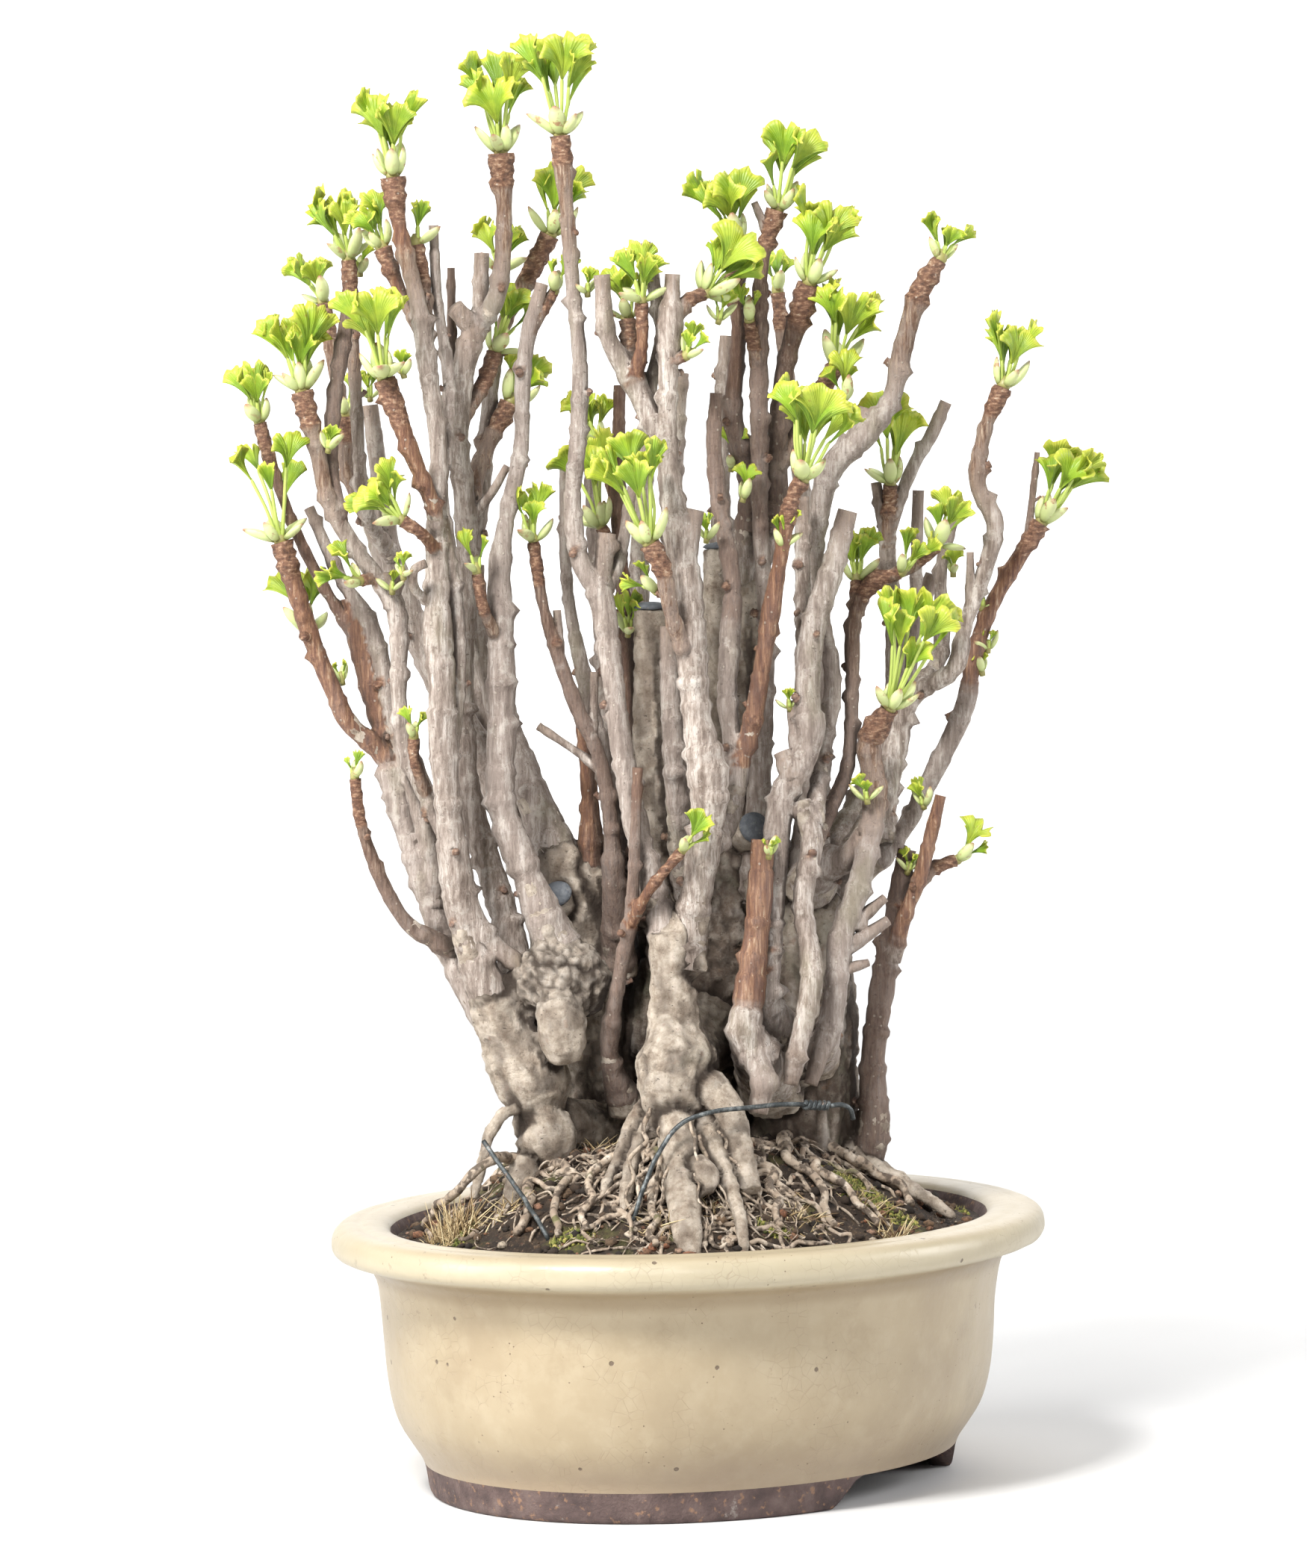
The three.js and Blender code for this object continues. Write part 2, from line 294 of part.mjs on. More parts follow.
// Leaf bunches: stem they grow on, height, spread, number of leaves, lean to the viewer's right
const BUNCHES = [
  ["left_leader", 31, 16, 4, 0],
  ["left_mid_tall", 36, 19, 4, 0],
  ["mid_stem", 36, 22, 4, 0],
  ["left_rear_high", 27, 18, 3, -6],
  ["left_spur_a", 19, 12, 3, -4],
  ["rear_d", 19, 17, 3, -6],
  ["left_grey_a", 30, 24, 4, 0],
  ["left_brown", 33, 18, 3, 0],
  ["left_spur_b", 15, 10, 2, 0],
  ["left_mid_spur", 19, 20, 3, 0],
  ["left_copper", 38, 25, 3, 0],
  ["left_outer_twig", 21, 13, 3, 0],
  ["left_arm_spur", 17, 17, 3, -10],
  ["left_fan_spur", 22, 26, 3, -8],
  ["left_rear_twig", 14, 8, 2, 0],
  ["left_side_spur", 24, 9, 2, 0],
  ["left_thin", 11, 7, 2, 0],
  ["left_low_twig", 9, 6, 2, 0],
  ["left_inner_spur", 14, 6, 2, 0],
  ["left_mid_wrinkled", 24, 16, 3, 6],
  ["left_mid_dark", 21, 18, 3, 8],
  ["left_inner_bud", 15, 7, 2, 0],
  ["thin_dark", 20, 16, 3, 0],
  ["copper_back_a", 34, 14, 3, 0],
  ["copper_back_b", 19, 19, 3, 0],
  ["mid_leaf_spur", 39, 20, 4, 0],
  ["mid_left_spur", 13, 14, 2, -8],
  ["mid_fork_back", 18, 10, 3, 0],
  ["mid_fork_copper", 21, 18, 3, 0],
  ["mid_main_arm", 26, 26, 4, 4],
  ["mid_main_spur", 12, 16, 3, 0],
  ["right_tall", 31, 19, 4, 0],
  ["right_brown", 28, 23, 3, -5],
  ["right_dark", 34, 19, 4, 5],
  ["rear_e", 16, 14, 3, 0],
  ["right_tall_spur", 13, 10, 2, 0],
  ["right_dark_arm", 30, 20, 4, 0],
  ["mid_copper", 36, 30, 4, 0],
  ["crooked", 16, 21, 3, 0],
  ["right_tall_cut_spur", 33, 17, 3, 0],
  ["right_thin_spur", 19, 9, 3, 0],
  ["right_thin", 17, 13, 3, 0],
  ["right_thin_arm", 21, 17, 3, 0],
  ["right_outer", 43, 25, 4, 4],
  ["right_zigzag", 26, 13, 3, 0],
  ["far_right", 32, 17, 4, 8],
  ["right_shoot_spur", 16, 8, 3, 5],
  ["left_mid_rear", 26, 20, 3, 0],
  ["front_copper_twig", 16, 12, 2, 8],
];

// Small helpers

function finish(color, roughness, metalness = 0) {
  return new THREE.MeshStandardMaterial({ color, roughness, metalness });
}

function random(seed) {
  let s = seed >>> 0;
  return () => {
    s = (Math.imul(s, 1664525) + 1013904223) >>> 0;
    return s / 4294967296;
  };
}

// The point at that place across and up, set back by depth along the viewer's line of sight.
function sight(across, height, depth) {
  const k = 1 + depth / EYE_DISTANCE;
  const x = EYE_ACROSS + (across - EYE_ACROSS) * k;
  const z = EYE_HEIGHT + (height - EYE_HEIGHT) * k;
  return new THREE.Vector3(x, depth, z).applyAxisAngle(UP, -FRONT_TURN);
}

function manifold(points, triangles) {
  const g = new THREE.BufferGeometry();
  g.setAttribute("position", new THREE.Float32BufferAttribute(points, 3));
  g.setIndex(triangles);
  return solid(g);
}

function solid(geometry) {
  const g = geometry.clone();
  g.deleteAttribute("normal");
  g.deleteAttribute("uv");
  const merged = mergeVertices(g, 1e-3);
  const made = (index) =>
    new wasm.Manifold(
      new wasm.Mesh({
        numProp: 3,
        vertProperties: merged.attributes.position.array,
        triVerts: new Uint32Array(index),
      }),
    );
  const index = Array.from(merged.index.array).filter((v, i, all) => {
    const t = i - (i % 3);
    return all[t] !== all[t + 1] && all[t + 1] !== all[t + 2] && all[t] !== all[t + 2];
  });
  const first = made(index);
  return first.volume() > 0 ? first : made(index.reverse());
}

function union(solids) {
  return wasm.Manifold.union(solids);
}

// The biggest of the bodies that a cut has left
function largest(shape) {
  return shape.decompose().reduce((a, b) => (b.volume() > a.volume() ? b : a));
}

function mesh(name, shape, material) {
  const { vertProperties, triVerts } = shape.getMesh();
  const g = new THREE.BufferGeometry();
  g.setAttribute("position", new THREE.BufferAttribute(new Float32Array(vertProperties), 3));
  g.setIndex(new THREE.BufferAttribute(new Uint32Array(triVerts), 1));
  g.computeVertexNormals();
  const made = new THREE.Mesh(g, material);
  made.name = name;
  return made;
}

// A round limb along a curve through points, with a radius at each. Grown by grow all over.
function limb(points, radii, sides, steps, grow = 0) {
  const curve = new THREE.CatmullRomCurve3(points, false, "centripetal");
  const frames = curve.computeFrenetFrames(steps, false);
  const g = new THREE.CylinderGeometry(1, 1, 1, sides, steps);
  const p = g.attributes.position;
  for (let i = 0; i < p.count; i++) {
    const k = Math.round((0.5 - p.getY(i)) * steps);
    const s = Math.min((k / steps) * (radii.length - 1), radii.length - 1.000001);
    const low = Math.floor(s);
    const radius = radii[low] + (radii[low + 1] - radii[low]) * (s - low) + grow;
    const lengthen = k === 0 ? -grow : k === steps ? grow : 0;
    const at = curve
      .getPoint(k / steps)
      .addScaledVector(frames.normals[k], p.getX(i) * radius)
      .addScaledVector(frames.binormals[k], p.getZ(i) * radius)
      .addScaledVector(frames.tangents[k], lengthen);
    p.setXYZ(i, at.x, at.y, at.z);
  }
  return solid(g);
}

// Pot

// A lathe whose rings are ovals: the lip's oval drawn in by the same amount all round
function ovalLathe(profile, sides) {
  const g = new THREE.LatheGeometry(
    profile.map(([r, z]) => new THREE.Vector2(r, z)),
    sides,
  );
  g.rotateX(Math.PI / 2);
  const p = g.attributes.position;
  const narrower = POT_HALF_LENGTH - POT_HALF_WIDTH;
  for (let i = 0; i < p.count; i++) {
    const r = Math.hypot(p.getX(i), p.getY(i));
    p.setY(i, r > narrower ? (p.getY(i) * (r - narrower)) / r : 0);
  }
  return solid(g);
}

function makePot() {
  const body = ovalLathe(
    [
      [0, FLOOR_UNDERSIDE],
      [POT_HALF_LENGTH - FOOT_INSET - FOOT_THICK - 1, FLOOR_UNDERSIDE],
      [POT_HALF_LENGTH - FOOT_INSET - FOOT_THICK, 0],
      [POT_HALF_LENGTH - FOOT_INSET, 0],
      [POT_HALF_LENGTH - FOOT_INSET + 1.5, 12.5],
      [POT_HALF_LENGTH - 23.2, 25],
      [POT_HALF_LENGTH - 19.2, 42],
      [POT_HALF_LENGTH - 17.2, 68],
      [POT_HALF_LENGTH - 14.4, 80],
      [POT_HALF_LENGTH - 2, 84],
      [POT_HALF_LENGTH, 87],
      [POT_HALF_LENGTH - 0.8, 93.5],
      [POT_HALF_LENGTH - 12, POT_HEIGHT],
      [POT_HALF_LENGTH - 21, 94.2],
      ...insideProfile(0),
    ],
    POT_SIDES,
  );
  const holes = [-1, 1].map((side) => {
    const g = new THREE.CylinderGeometry(DRAIN_RADIUS, DRAIN_RADIUS, 30, 12);
    g.rotateX(Math.PI / 2);
    g.translate(side * DRAIN_OFFSET, 0, FLOOR_TOP);
    return solid(g);
  });
  const half = FOOT_GAP / 2;
  const gap = new THREE.Shape([
    new THREE.Vector2(-half, -1),
    new THREE.Vector2(half, -1),
    new THREE.Vector2(half - FOOT_GAP_SLOPE * 0.3, 6),
    new THREE.Vector2(half - FOOT_GAP_SLOPE, FLOOR_UNDERSIDE - 1),
    new THREE.Vector2(FOOT_GAP_SLOPE - half, FLOOR_UNDERSIDE - 1),
    new THREE.Vector2(FOOT_GAP_SLOPE * 0.3 - half, 6),
  ]);
  const g = new THREE.ExtrudeGeometry(gap, { depth: 2 * POT_HALF_WIDTH, bevelEnabled: false });
  g.rotateX(Math.PI / 2);
  g.translate(0, POT_HALF_WIDTH, 0);
  return body.subtract(union([...holes, solid(g)]));
}

// The inside of the pot from the rim to the middle of the floor, drawn in by clear
function insideProfile(clear) {
  return [
    [POT_HALF_LENGTH - WALL_INSET - clear, SOIL_EDGE],
    [POT_HALF_LENGTH - 26 - clear, 52],
    [POT_HALF_LENGTH - 30 - clear, 29],
    [POT_HALF_LENGTH - 38 - clear, FLOOR_TOP + clear],
    [0, FLOOR_TOP + clear],
  ];
}

// Soil

function mound(x, y) {
  const out = Math.hypot(x / SOIL_LENGTH, y / SOIL_WIDTH);
  const t = THREE.MathUtils.clamp((1 - out) / (1 - MOUND_FLAT), 0, 1);
  return SOIL_EDGE + MOUND_RISE * t * t * (3 - 2 * t);
}

// The place on the mound that the viewer sees at across and height, raised by lift
function onMound(across, height, lift) {
  for (let depth = -125; depth < 80; depth += 1) {
    const p = sight(across, height, depth);
    if (mound(p.x, p.y) + lift >= p.z && Math.hypot(p.x / SOIL_LENGTH, p.y / SOIL_WIDTH) < 0.96) {
      return p;
    }
  }
  return sight(across, height, -60);
}

function makeSoil() {
  const below = ovalLathe([...insideProfile(CLEAR).reverse(), [0, SOIL_EDGE]], POT_SIDES);
  const steps = Array.from({ length: SOIL_RINGS + 1 }, (_, k) => k / SOIL_RINGS);
  const g = new THREE.LatheGeometry(
    [new THREE.Vector2(0, SOIL_EDGE - 9), new THREE.Vector2(SOIL_LENGTH - 1, SOIL_EDGE - 9)].concat(
      steps.map((s) => new THREE.Vector2(SOIL_LENGTH * (1 - s), SOIL_EDGE)),
    ),
    POT_SIDES,
  );
  g.rotateX(Math.PI / 2);
  const p = g.attributes.position;
  for (let i = 0; i < p.count; i++) {
    const r = Math.hypot(p.getX(i), p.getY(i));
    const inner = p.getZ(i) < SOIL_EDGE - 1;
    p.setY(i, (p.getY(i) * (SOIL_WIDTH - (inner ? 1 : 0))) / (SOIL_LENGTH - (inner ? 1 : 0)));
    if (!inner && r < SOIL_LENGTH - 1) {
      p.setZ(i, mound(p.getX(i), p.getY(i)));
    }
  }
  return below.add(solid(g));
}

// Wood

function placed(points) {
  return points.map(([across, height, depth]) => sight(across, height, depth));
}

function pathLength(points) {
  return points.slice(1).reduce((sum, p, i) => sum + p.distanceTo(points[i]), 0);
}

function woodLimb(seen, grow = 0) {
  const points = placed(seen);
  const radii = seen.map((p) => p[3]);
  const widest = Math.max(...radii.slice(1));
  const sides = widest > 11 ? 8 : widest > 6.5 ? 6 : widest > 4.6 ? 5 : 4;
  const steps = Math.max(1, Math.min(Math.round(pathLength(points) / STEM_STEP), seen.length));
  return limb(points, radii, sides, steps, grow);
}

function thinRootPoints() {
  const drawn = THIN_ROOTS.map(([start, ...root]) => {
    const points = root.map(([across, height, radius]) => onMound(across, height, radius + ROOT_LIFT));
    return [[sight(...start), ...points], [3, ...root.map((p) => p[2])]];
  });
  const draw = random(11);
  for (let k = 0; k < BACK_ROOTS; k++) {
    const angle = (-0.42 + (k / BACK_ROOTS) * 1.25) * Math.PI - FRONT_TURN + Math.PI / 2;
    const points = [];
    for (let s = 0; s < 4; s++) {
      const a = angle + (draw() - 0.5) * 0.24;
      const out = 0.2 + s * (0.17 + draw() * 0.05);
      const x = out * SOIL_LENGTH * Math.cos(a);
      const y = out * SOIL_WIDTH * Math.sin(a);
      points.push(new THREE.Vector3(x, y, mound(x, y) + BACK_ROOT_RADIUS * 1.3 + ROOT_LIFT));
    }
    const radius = BACK_ROOT_RADIUS * (0.8 + draw() * 0.4);
    drawn.push([points, [radius * 1.5, radius * 1.2, radius, radius * 0.7]]);
  }
  return drawn;
}

function thinRoots(grow = 0) {
  return thinRootPoints().map(([points, radii]) => limb(points, radii, 4, points.length - 1, grow));
}

function burl(grow = 0) {
  const [across, deep, high] = BURL.half;
  const centre = sight(...BURL.at);
  const g = new THREE.SphereGeometry(1, 9, 6);
  g.rotateX(Math.PI / 2);
  g.scale(across + grow, deep + grow, high + grow);
  g.rotateZ(-FRONT_TURN);
  g.translate(centre.x, centre.y, centre.z);
  return solid(g);
}

function woodPieces(grow = 0) {
  const limbs = [...Object.values(OLD_WOOD), ...Object.values(THICK_ROOTS), ...Object.values(STEMS)];
  return [...limbs.map((seen) => woodLimb(seen, grow)), burl(grow), ...thinRoots(grow)];
}

function tipOf(seen) {
  const points = placed(seen);
  const curve = new THREE.CatmullRomCurve3(points, false, "centripetal");
  return { at: points[points.length - 1], along: curve.getTangent(1), radius: seen[seen.length - 1][3] };
}

// A low dome of wound paste on the sawn end of a stem
function paste(seen) {
  const { at, along, radius } = tipOf(seen);
  const up = (d) => at.clone().addScaledVector(along, CLEAR + d);
  const points = [up(0), up(PASTE_THICK * 0.6), up(PASTE_THICK)];
  return limb(points, [radius * 0.98, radius * 0.9, radius * 0.5], 8, 2);
}

// Wires

function wire(seen, grow = 0) {
  const points = placed(seen);
  return limb(points, points.map(() => WIRE_RADIUS), 6, points.length * 2 - 3, grow);
}

// Leaf bunches

// A thin plate: points of its face, triangles of the face, the loop round its edge and the way it
// faces. The back repeats the face, so a waved plate never crosses itself.
function plate(points, triangles, loop, facing, thick) {
  const n = points.length;
  const half = facing.clone().multiplyScalar(thick / 2);
  const front = points.map((p) => p.clone().add(half));
  const back = points.map((p) => p.clone().sub(half));
  const index = [];
  for (const [a, b, c] of triangles) {
    index.push(a, b, c, n + c, n + b, n + a);
  }
  loop.forEach((a, i) => {
    const b = loop[(i + 1) % loop.length];
    index.push(b, a, n + a, b, n + a, n + b);
  });
  return manifold(
    [...front, ...back].flatMap((p) => [p.x, p.y, p.z]),
    index,
  );
}

// One leaf: a stalk that leans out from its foot and a blade like an open fan, rolled towards
// the middle of the bunch, with a notch and waves in its rim.
function fanLeaf(foot, along, outward, size, thick) {
  const across = new THREE.Vector3().crossVectors(along, outward).normalize();
  const lean = (angle) =>
    along.clone().multiplyScalar(Math.cos(angle)).addScaledVector(outward, Math.sin(angle)).normalize();
  const stalk = lean(size.lean);
  const blade = lean(size.lean * size.flare);
  const facing = new THREE.Vector3().crossVectors(across, blade).normalize();
  const neck = foot.clone().addScaledVector(stalk, size.stalk);
  const half = PETIOLE_WIDTH / 2;
  const points = [
    foot.clone().addScaledVector(across, -half),
    foot.clone().addScaledVector(across, half),
    neck.clone().addScaledVector(across, half),
  ];
  for (let k = 4; k >= 0; k--) {
    const turn = (k / 2 - 1) * size.open;
    const reach = size.blade * (k === 2 ? 0.82 : k % 2 ? 1.04 : 0.86);
    const roll = size.roll * reach * Math.pow(turn / size.open, 2) + (k % 2 ? 0.08 : 0) * reach;
    points.push(
      neck
        .clone()
        .addScaledVector(blade, reach * Math.cos(turn))
        .addScaledVector(across, reach * Math.sin(turn))
        .addScaledVector(facing, roll),
    );
  }
  points.push(neck.clone().addScaledVector(across, -half));
  const triangles = [
    [0, 1, 2], [0, 2, 8], [2, 3, 4], [2, 4, 5], [2, 5, 8], [8, 5, 6], [8, 6, 7],
  ];
  return plate(points, triangles, [0, 1, 2, 3, 4, 5, 6, 7, 8], facing, thick);
}

// One bud scale: a spoon that stands out from the foot of the bunch
function budScale(foot, along, outward, length) {
  const across = new THREE.Vector3().crossVectors(along, outward).normalize();
  const at = (up, out, side) =>
    foot
      .clone()
      .addScaledVector(along, up * length)
      .addScaledVector(outward, out * length)
      .addScaledVector(across, side * length);
  const points = [at(0, 0, 0), at(0.5, 0.45, 0.22), at(0.95, 0.5, 0), at(0.5, 0.45, -0.22)];
  const facing = along.clone().multiplyScalar(0.4).sub(outward).normalize();
  return plate(points, [[0, 1, 3], [1, 2, 3]], [0, 1, 2, 3], facing, LEAF_THICK);
}

function bunch([stem, height, spread, leaves, lean], seed, occupied) {
  const draw = random(seed);
  const tip = tipOf(STEMS[stem]);
  const viewerRight = new THREE.Vector3(1, 0, 0).applyAxisAngle(UP, -FRONT_TURN);
  const up = tip.along.clone().addScaledVector(UP, 1.4).normalize();
  up.addScaledVector(viewerRight, lean / height).normalize();
  const side = new THREE.Vector3().crossVectors(up, viewerRight).normalize();
  const front = new THREE.Vector3().crossVectors(side, up).normalize();
  const around = (angle) =>
    front.clone().multiplyScalar(Math.cos(angle)).addScaledVector(side, Math.sin(angle));
  const foot = tip.at.clone().addScaledVector(tip.along, CLEAR);
  const heart = foot.clone().addScaledVector(tip.along, 1.2).addScaledVector(up, 2.4);
  const wide = Math.min(tip.radius * 0.9, 2.4);
  const pieces = [limb([foot, heart], [wide, wide + 0.9], 5, 1)];
  let taken = occupied;
  // Draws a piece afresh until it is clear of everything, the rest of the bunch included
  const fit = (tries, make) => {
    for (let attempt = 0; attempt < tries; attempt++) {
      const [shape, room] = make(attempt);
      if (room.intersect(taken).volume() < 1e-6) {
        pieces.push(shape);
        taken = taken.add(room);
        return;
      }
    }
  };
  const turn = draw() * 2 * Math.PI;
  for (let k = 0; k < leaves; k++) {
    fit(24, (attempt) => {
      const shrink = 1 - attempt * 0.02;
      const angle = turn + ((k + attempt * 0.21) / leaves) * 2 * Math.PI + draw() * 0.3;
      const blade = Math.min(height * 0.38, 13) * (0.85 + draw() * 0.3) * shrink;
      const size = {
        blade,
        stalk: (height - blade - 3) * (k === 0 ? 1 : 0.62 + draw() * 0.38),
        open: (0.62 + draw() * 0.3) * shrink,
        roll: 0.25 + draw() * 0.15,
        flare: 1.2 + draw() * 0.8,
        lean: Math.atan2(spread * 0.4, height) * (0.7 + draw() * 0.5),
      };
      const outward = around(angle);
      const start = heart.clone().addScaledVector(up, -0.8).addScaledVector(outward, wide * 0.42);
      const leaf = fanLeaf(start, up, outward, size, LEAF_THICK);
      const roomy = { ...size, blade: blade + 0.4 };
      const clearStart = start.clone().addScaledVector(up, 1.5);
      return [leaf, fanLeaf(clearStart, up, outward, roomy, LEAF_THICK + 0.6)];
    });
  }
  const scales = Math.floor(height / SCALE_SHARE);
  for (let k = 0; k < scales; k++) {
    fit(12, (attempt) => {
      const outward = around(turn + ((k + 0.5 + attempt * 0.13) / scales) * 2 * Math.PI);
      const start = heart.clone().addScaledVector(up, -1.2).addScaledVector(outward, wide * 0.5);
      const scale = budScale(start, up, outward, 6.5 + draw() * 2.5);
      return [scale, scale];
    });
  }
  return union(pieces);
}

// Drain mesh: a square of coarse plastic net lying over each hole, under the soil

function netBlank(side, grow) {
  const size = MESH_SIZE + grow * 2;
  const g = new THREE.BoxGeometry(size, size, MESH_THICK + grow * 2);
  g.translate(side * DRAIN_OFFSET, 0, FLOOR_TOP + CLEAR + MESH_THICK / 2);
  return solid(g);
}

function makeNet(side) {
  const cell = MESH_SIZE / 2;
  const openings = [];
  for (const i of [-0.5, 0.5]) {
    for (const j of [-0.5, 0.5]) {
      const g = new THREE.BoxGeometry(cell - 4, cell - 4, 4);
      g.translate(side * DRAIN_OFFSET + i * cell, j * cell, FLOOR_TOP + 1);
      openings.push(solid(g));
    }
  }
  return netBlank(side, 0).subtract(union(openings));
}

// The whole tree

const wood = largest(union(woodPieces()));
const woodSpace = union(woodPieces(CLEAR));
const wires = Object.entries(WIRES).map(([name, seen]) => [name, wire(seen).subtract(woodSpace)]);
const wireSpace = union(Object.values(WIRES).map((seen) => wire(seen, CLEAR)));
const nets = [-1, 1];
const soilCut = union([woodSpace, wireSpace, ...nets.map((side) => netBlank(side, CLEAR))]);

const tree = new THREE.Group();
tree.add(mesh("pot", makePot(), GLAZE));
tree.add(mesh("soil", largest(makeSoil().subtract(soilCut)), EARTH));
tree.add(mesh("ginkgo_wood", wood, BARK));
for (const [name, shape] of wires) {
  tree.add(mesh(name, largest(shape), WIRE));
}
Object.entries(PASTED).forEach(([name, seen]) => {
  tree.add(mesh(name, largest(paste(seen).subtract(woodSpace)), PASTE));
});
nets.forEach((side, i) => {
  tree.add(mesh(`drain_mesh_${i + 1}`, makeNet(side), PLASTIC));
});
let occupied = union([woodSpace, wireSpace]);
BUNCHES.forEach((entry, i) => {
  const shape = largest(bunch(entry, 100 + i, occupied).subtract(woodSpace));
  occupied = occupied.add(shape);
  tree.add(mesh(`leaves_${entry[0]}`, shape, LEAF));
});

// The origin is under the middle of the whole thing's box, leaves included.
const middle = new THREE.Box3().setFromObject(tree).getCenter(new THREE.Vector3());
tree.position.set(-middle.x, -middle.y, 0);

export default tree;
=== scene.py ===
"""A ginkgo bonsai in early spring: an old stump with many upright stems, each tipped with a tuft of
unfolding fan leaves, rooted on a heap of soil in an oval glazed pot."""
import json
import math
import random

import bmesh
import bpy
import numpy as np
from mathutils import Matrix, Vector, noise
from mathutils.bvhtree import BVHTree
from mathutils.kdtree import KDTree

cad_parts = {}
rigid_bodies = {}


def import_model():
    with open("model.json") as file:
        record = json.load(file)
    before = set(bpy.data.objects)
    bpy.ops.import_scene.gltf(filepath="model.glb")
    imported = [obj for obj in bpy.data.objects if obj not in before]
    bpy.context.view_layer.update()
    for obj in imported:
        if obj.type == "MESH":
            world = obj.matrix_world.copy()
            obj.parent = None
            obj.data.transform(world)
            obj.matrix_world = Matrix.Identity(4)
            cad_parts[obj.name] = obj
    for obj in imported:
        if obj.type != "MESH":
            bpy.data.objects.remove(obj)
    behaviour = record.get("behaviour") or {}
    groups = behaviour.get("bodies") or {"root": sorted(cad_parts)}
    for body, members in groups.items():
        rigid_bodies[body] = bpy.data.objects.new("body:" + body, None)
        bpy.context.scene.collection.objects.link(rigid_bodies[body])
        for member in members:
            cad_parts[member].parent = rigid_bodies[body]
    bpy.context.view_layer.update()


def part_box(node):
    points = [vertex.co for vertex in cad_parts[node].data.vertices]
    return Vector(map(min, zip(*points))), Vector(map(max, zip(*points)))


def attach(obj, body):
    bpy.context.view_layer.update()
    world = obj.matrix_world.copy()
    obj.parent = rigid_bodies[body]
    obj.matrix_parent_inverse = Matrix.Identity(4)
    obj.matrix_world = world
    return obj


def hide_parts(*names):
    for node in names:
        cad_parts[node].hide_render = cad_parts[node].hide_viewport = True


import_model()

MM = 0.001
TURN = math.radians(-67)  # the tree's front against the pot's length
EYE_DISTANCE = 3012.0  # mm from the middle of the pot to the eye
EYE_HEIGHT = 431.4
EYE_ACROSS = -11.5
EYE_PITCH = 0.0611  # radians, looking down
EYE_ROLL = -0.0100
LENS = 196.0

# Pot, mm
POT_LENGTH = 150.0
POT_WIDTH = 122.0
FLOOR_UNDERSIDE = 12.0
FLOOR_TOP = 19.0
FOOT_GAP = 118.0
DRAIN_RADIUS = 11.0
DRAIN_OFFSET = 48.0

# Soil, mm
WALL_INSET = 23.0
SOIL_EDGE = 90.0
MOUND_RISE = 31.0
MOUND_FLAT = 0.4
SOIL_BASE = 22.0
SOIL_LENGTH = POT_LENGTH - WALL_INSET - 0.35
SOIL_WIDTH = POT_WIDTH - WALL_INSET - 0.35

# Fineness
STEM_SPACING = 1.6  # mm between the rings of a stem
LIMB_SPACING = 2.5  # and of the old wood and thick roots
THICK_STEM = 2.6  # radius from which a stem's foot grows into the old wood
WOOD_VOXEL = 1.4
SOIL_RINGS, SOIL_AROUND = ((92, 260))
POT_AROUND = 192
LEAF_ACROSS, LEAF_ALONG = ((18, 8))
ROOT_COUNT = 300
HAIR_COUNT = 30
CRUMB_COUNT = 2500
MOSS_DENSITY = 4.6

# Seeds of the random draws
STEM_SEED, ROOT_SEED, CRUMB_SEED, MOSS_SEED, BUD_SEED = 11, 5, 23, 31, 77
TUFT_SEED = 100  # and one more for each tuft

POT_MIDDLE = (np.array(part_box("pot")[0]) + np.array(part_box("pot")[1])) / 2 / MM

# The stems and the old wood. Each point is [across, height, depth, radius] in mm as the eye at the
# front sees it: across and height on the upright plane through the middle of the pot, depth behind it.
OLD_WOOD = {
    "old_trunk": [[2, 100, 22, 32], [4, 150, 22, 30], [6, 190, 20, 26], [12, 215, 18, 19],
        [15, 240, 18, 14], [17, 280, 19, 12], [17, 330, 20, 10.5]],
    "right_trunk": [[38, 100, 5, 21], [40, 150, 5, 20], [42, 190, 8, 17], [44, 216, 10, 12]],
    "left_trunk_back": [[-33, 100, 15, 19], [-38, 150, 12, 17], [-38, 190, 8, 14], [-42, 215, 8, 11],
        [-48, 228, 10, 8]],
    "left_trunk": [[-57, 96, -32, 8], [-53, 110, -33, 9], [-51, 122, -37, 11.6], [-54, 132, -34, 9.6],
        [-55, 140, -34, 13.8], [-59, 150, -33, 13], [-66, 162, -32, 9.5], [-73, 178, -32, 7.2]],
    "front_trunk": [[-6, 124, -60, 10], [-5, 140, -58, 13], [-4, 148, -54, 15], [-5, 162, -50, 9.4],
        [-5, 175, -49, 8.4], [-5, 194, -48, 9.6]],
    "sawn_stub": [[-6, 195, 0, 10], [-10, 230, -12, 7.2], [-12, 255, -13, 6.6], [-12, 309, -13, 6]],
    "pale_stub_left": [[-38, 195, 8, 9], [-34, 204, 4, 6.4], [-34, 216, 3, 6]],
    "paste_stub_left": [[-42, 198, 6, 8], [-46, 208, -6, 5.6]],
    "paste_stub_right": [[14, 222, 18, 9], [24, 231, -4, 6]],
    "left_join": [[-54, 128, -34, 11], [-34, 124, -8, 11], [0, 126, 16, 15]],
    "front_join": [[-5, 146, -54, 11], [-2, 150, -30, 13], [4, 160, 6, 18]],
    "left_lobe": [[-46, 172, -40, 7.5], [-45, 163, -46, 9], [-44, 155, -47, 8.4], [-43, 149, -46, 5.6]],
}

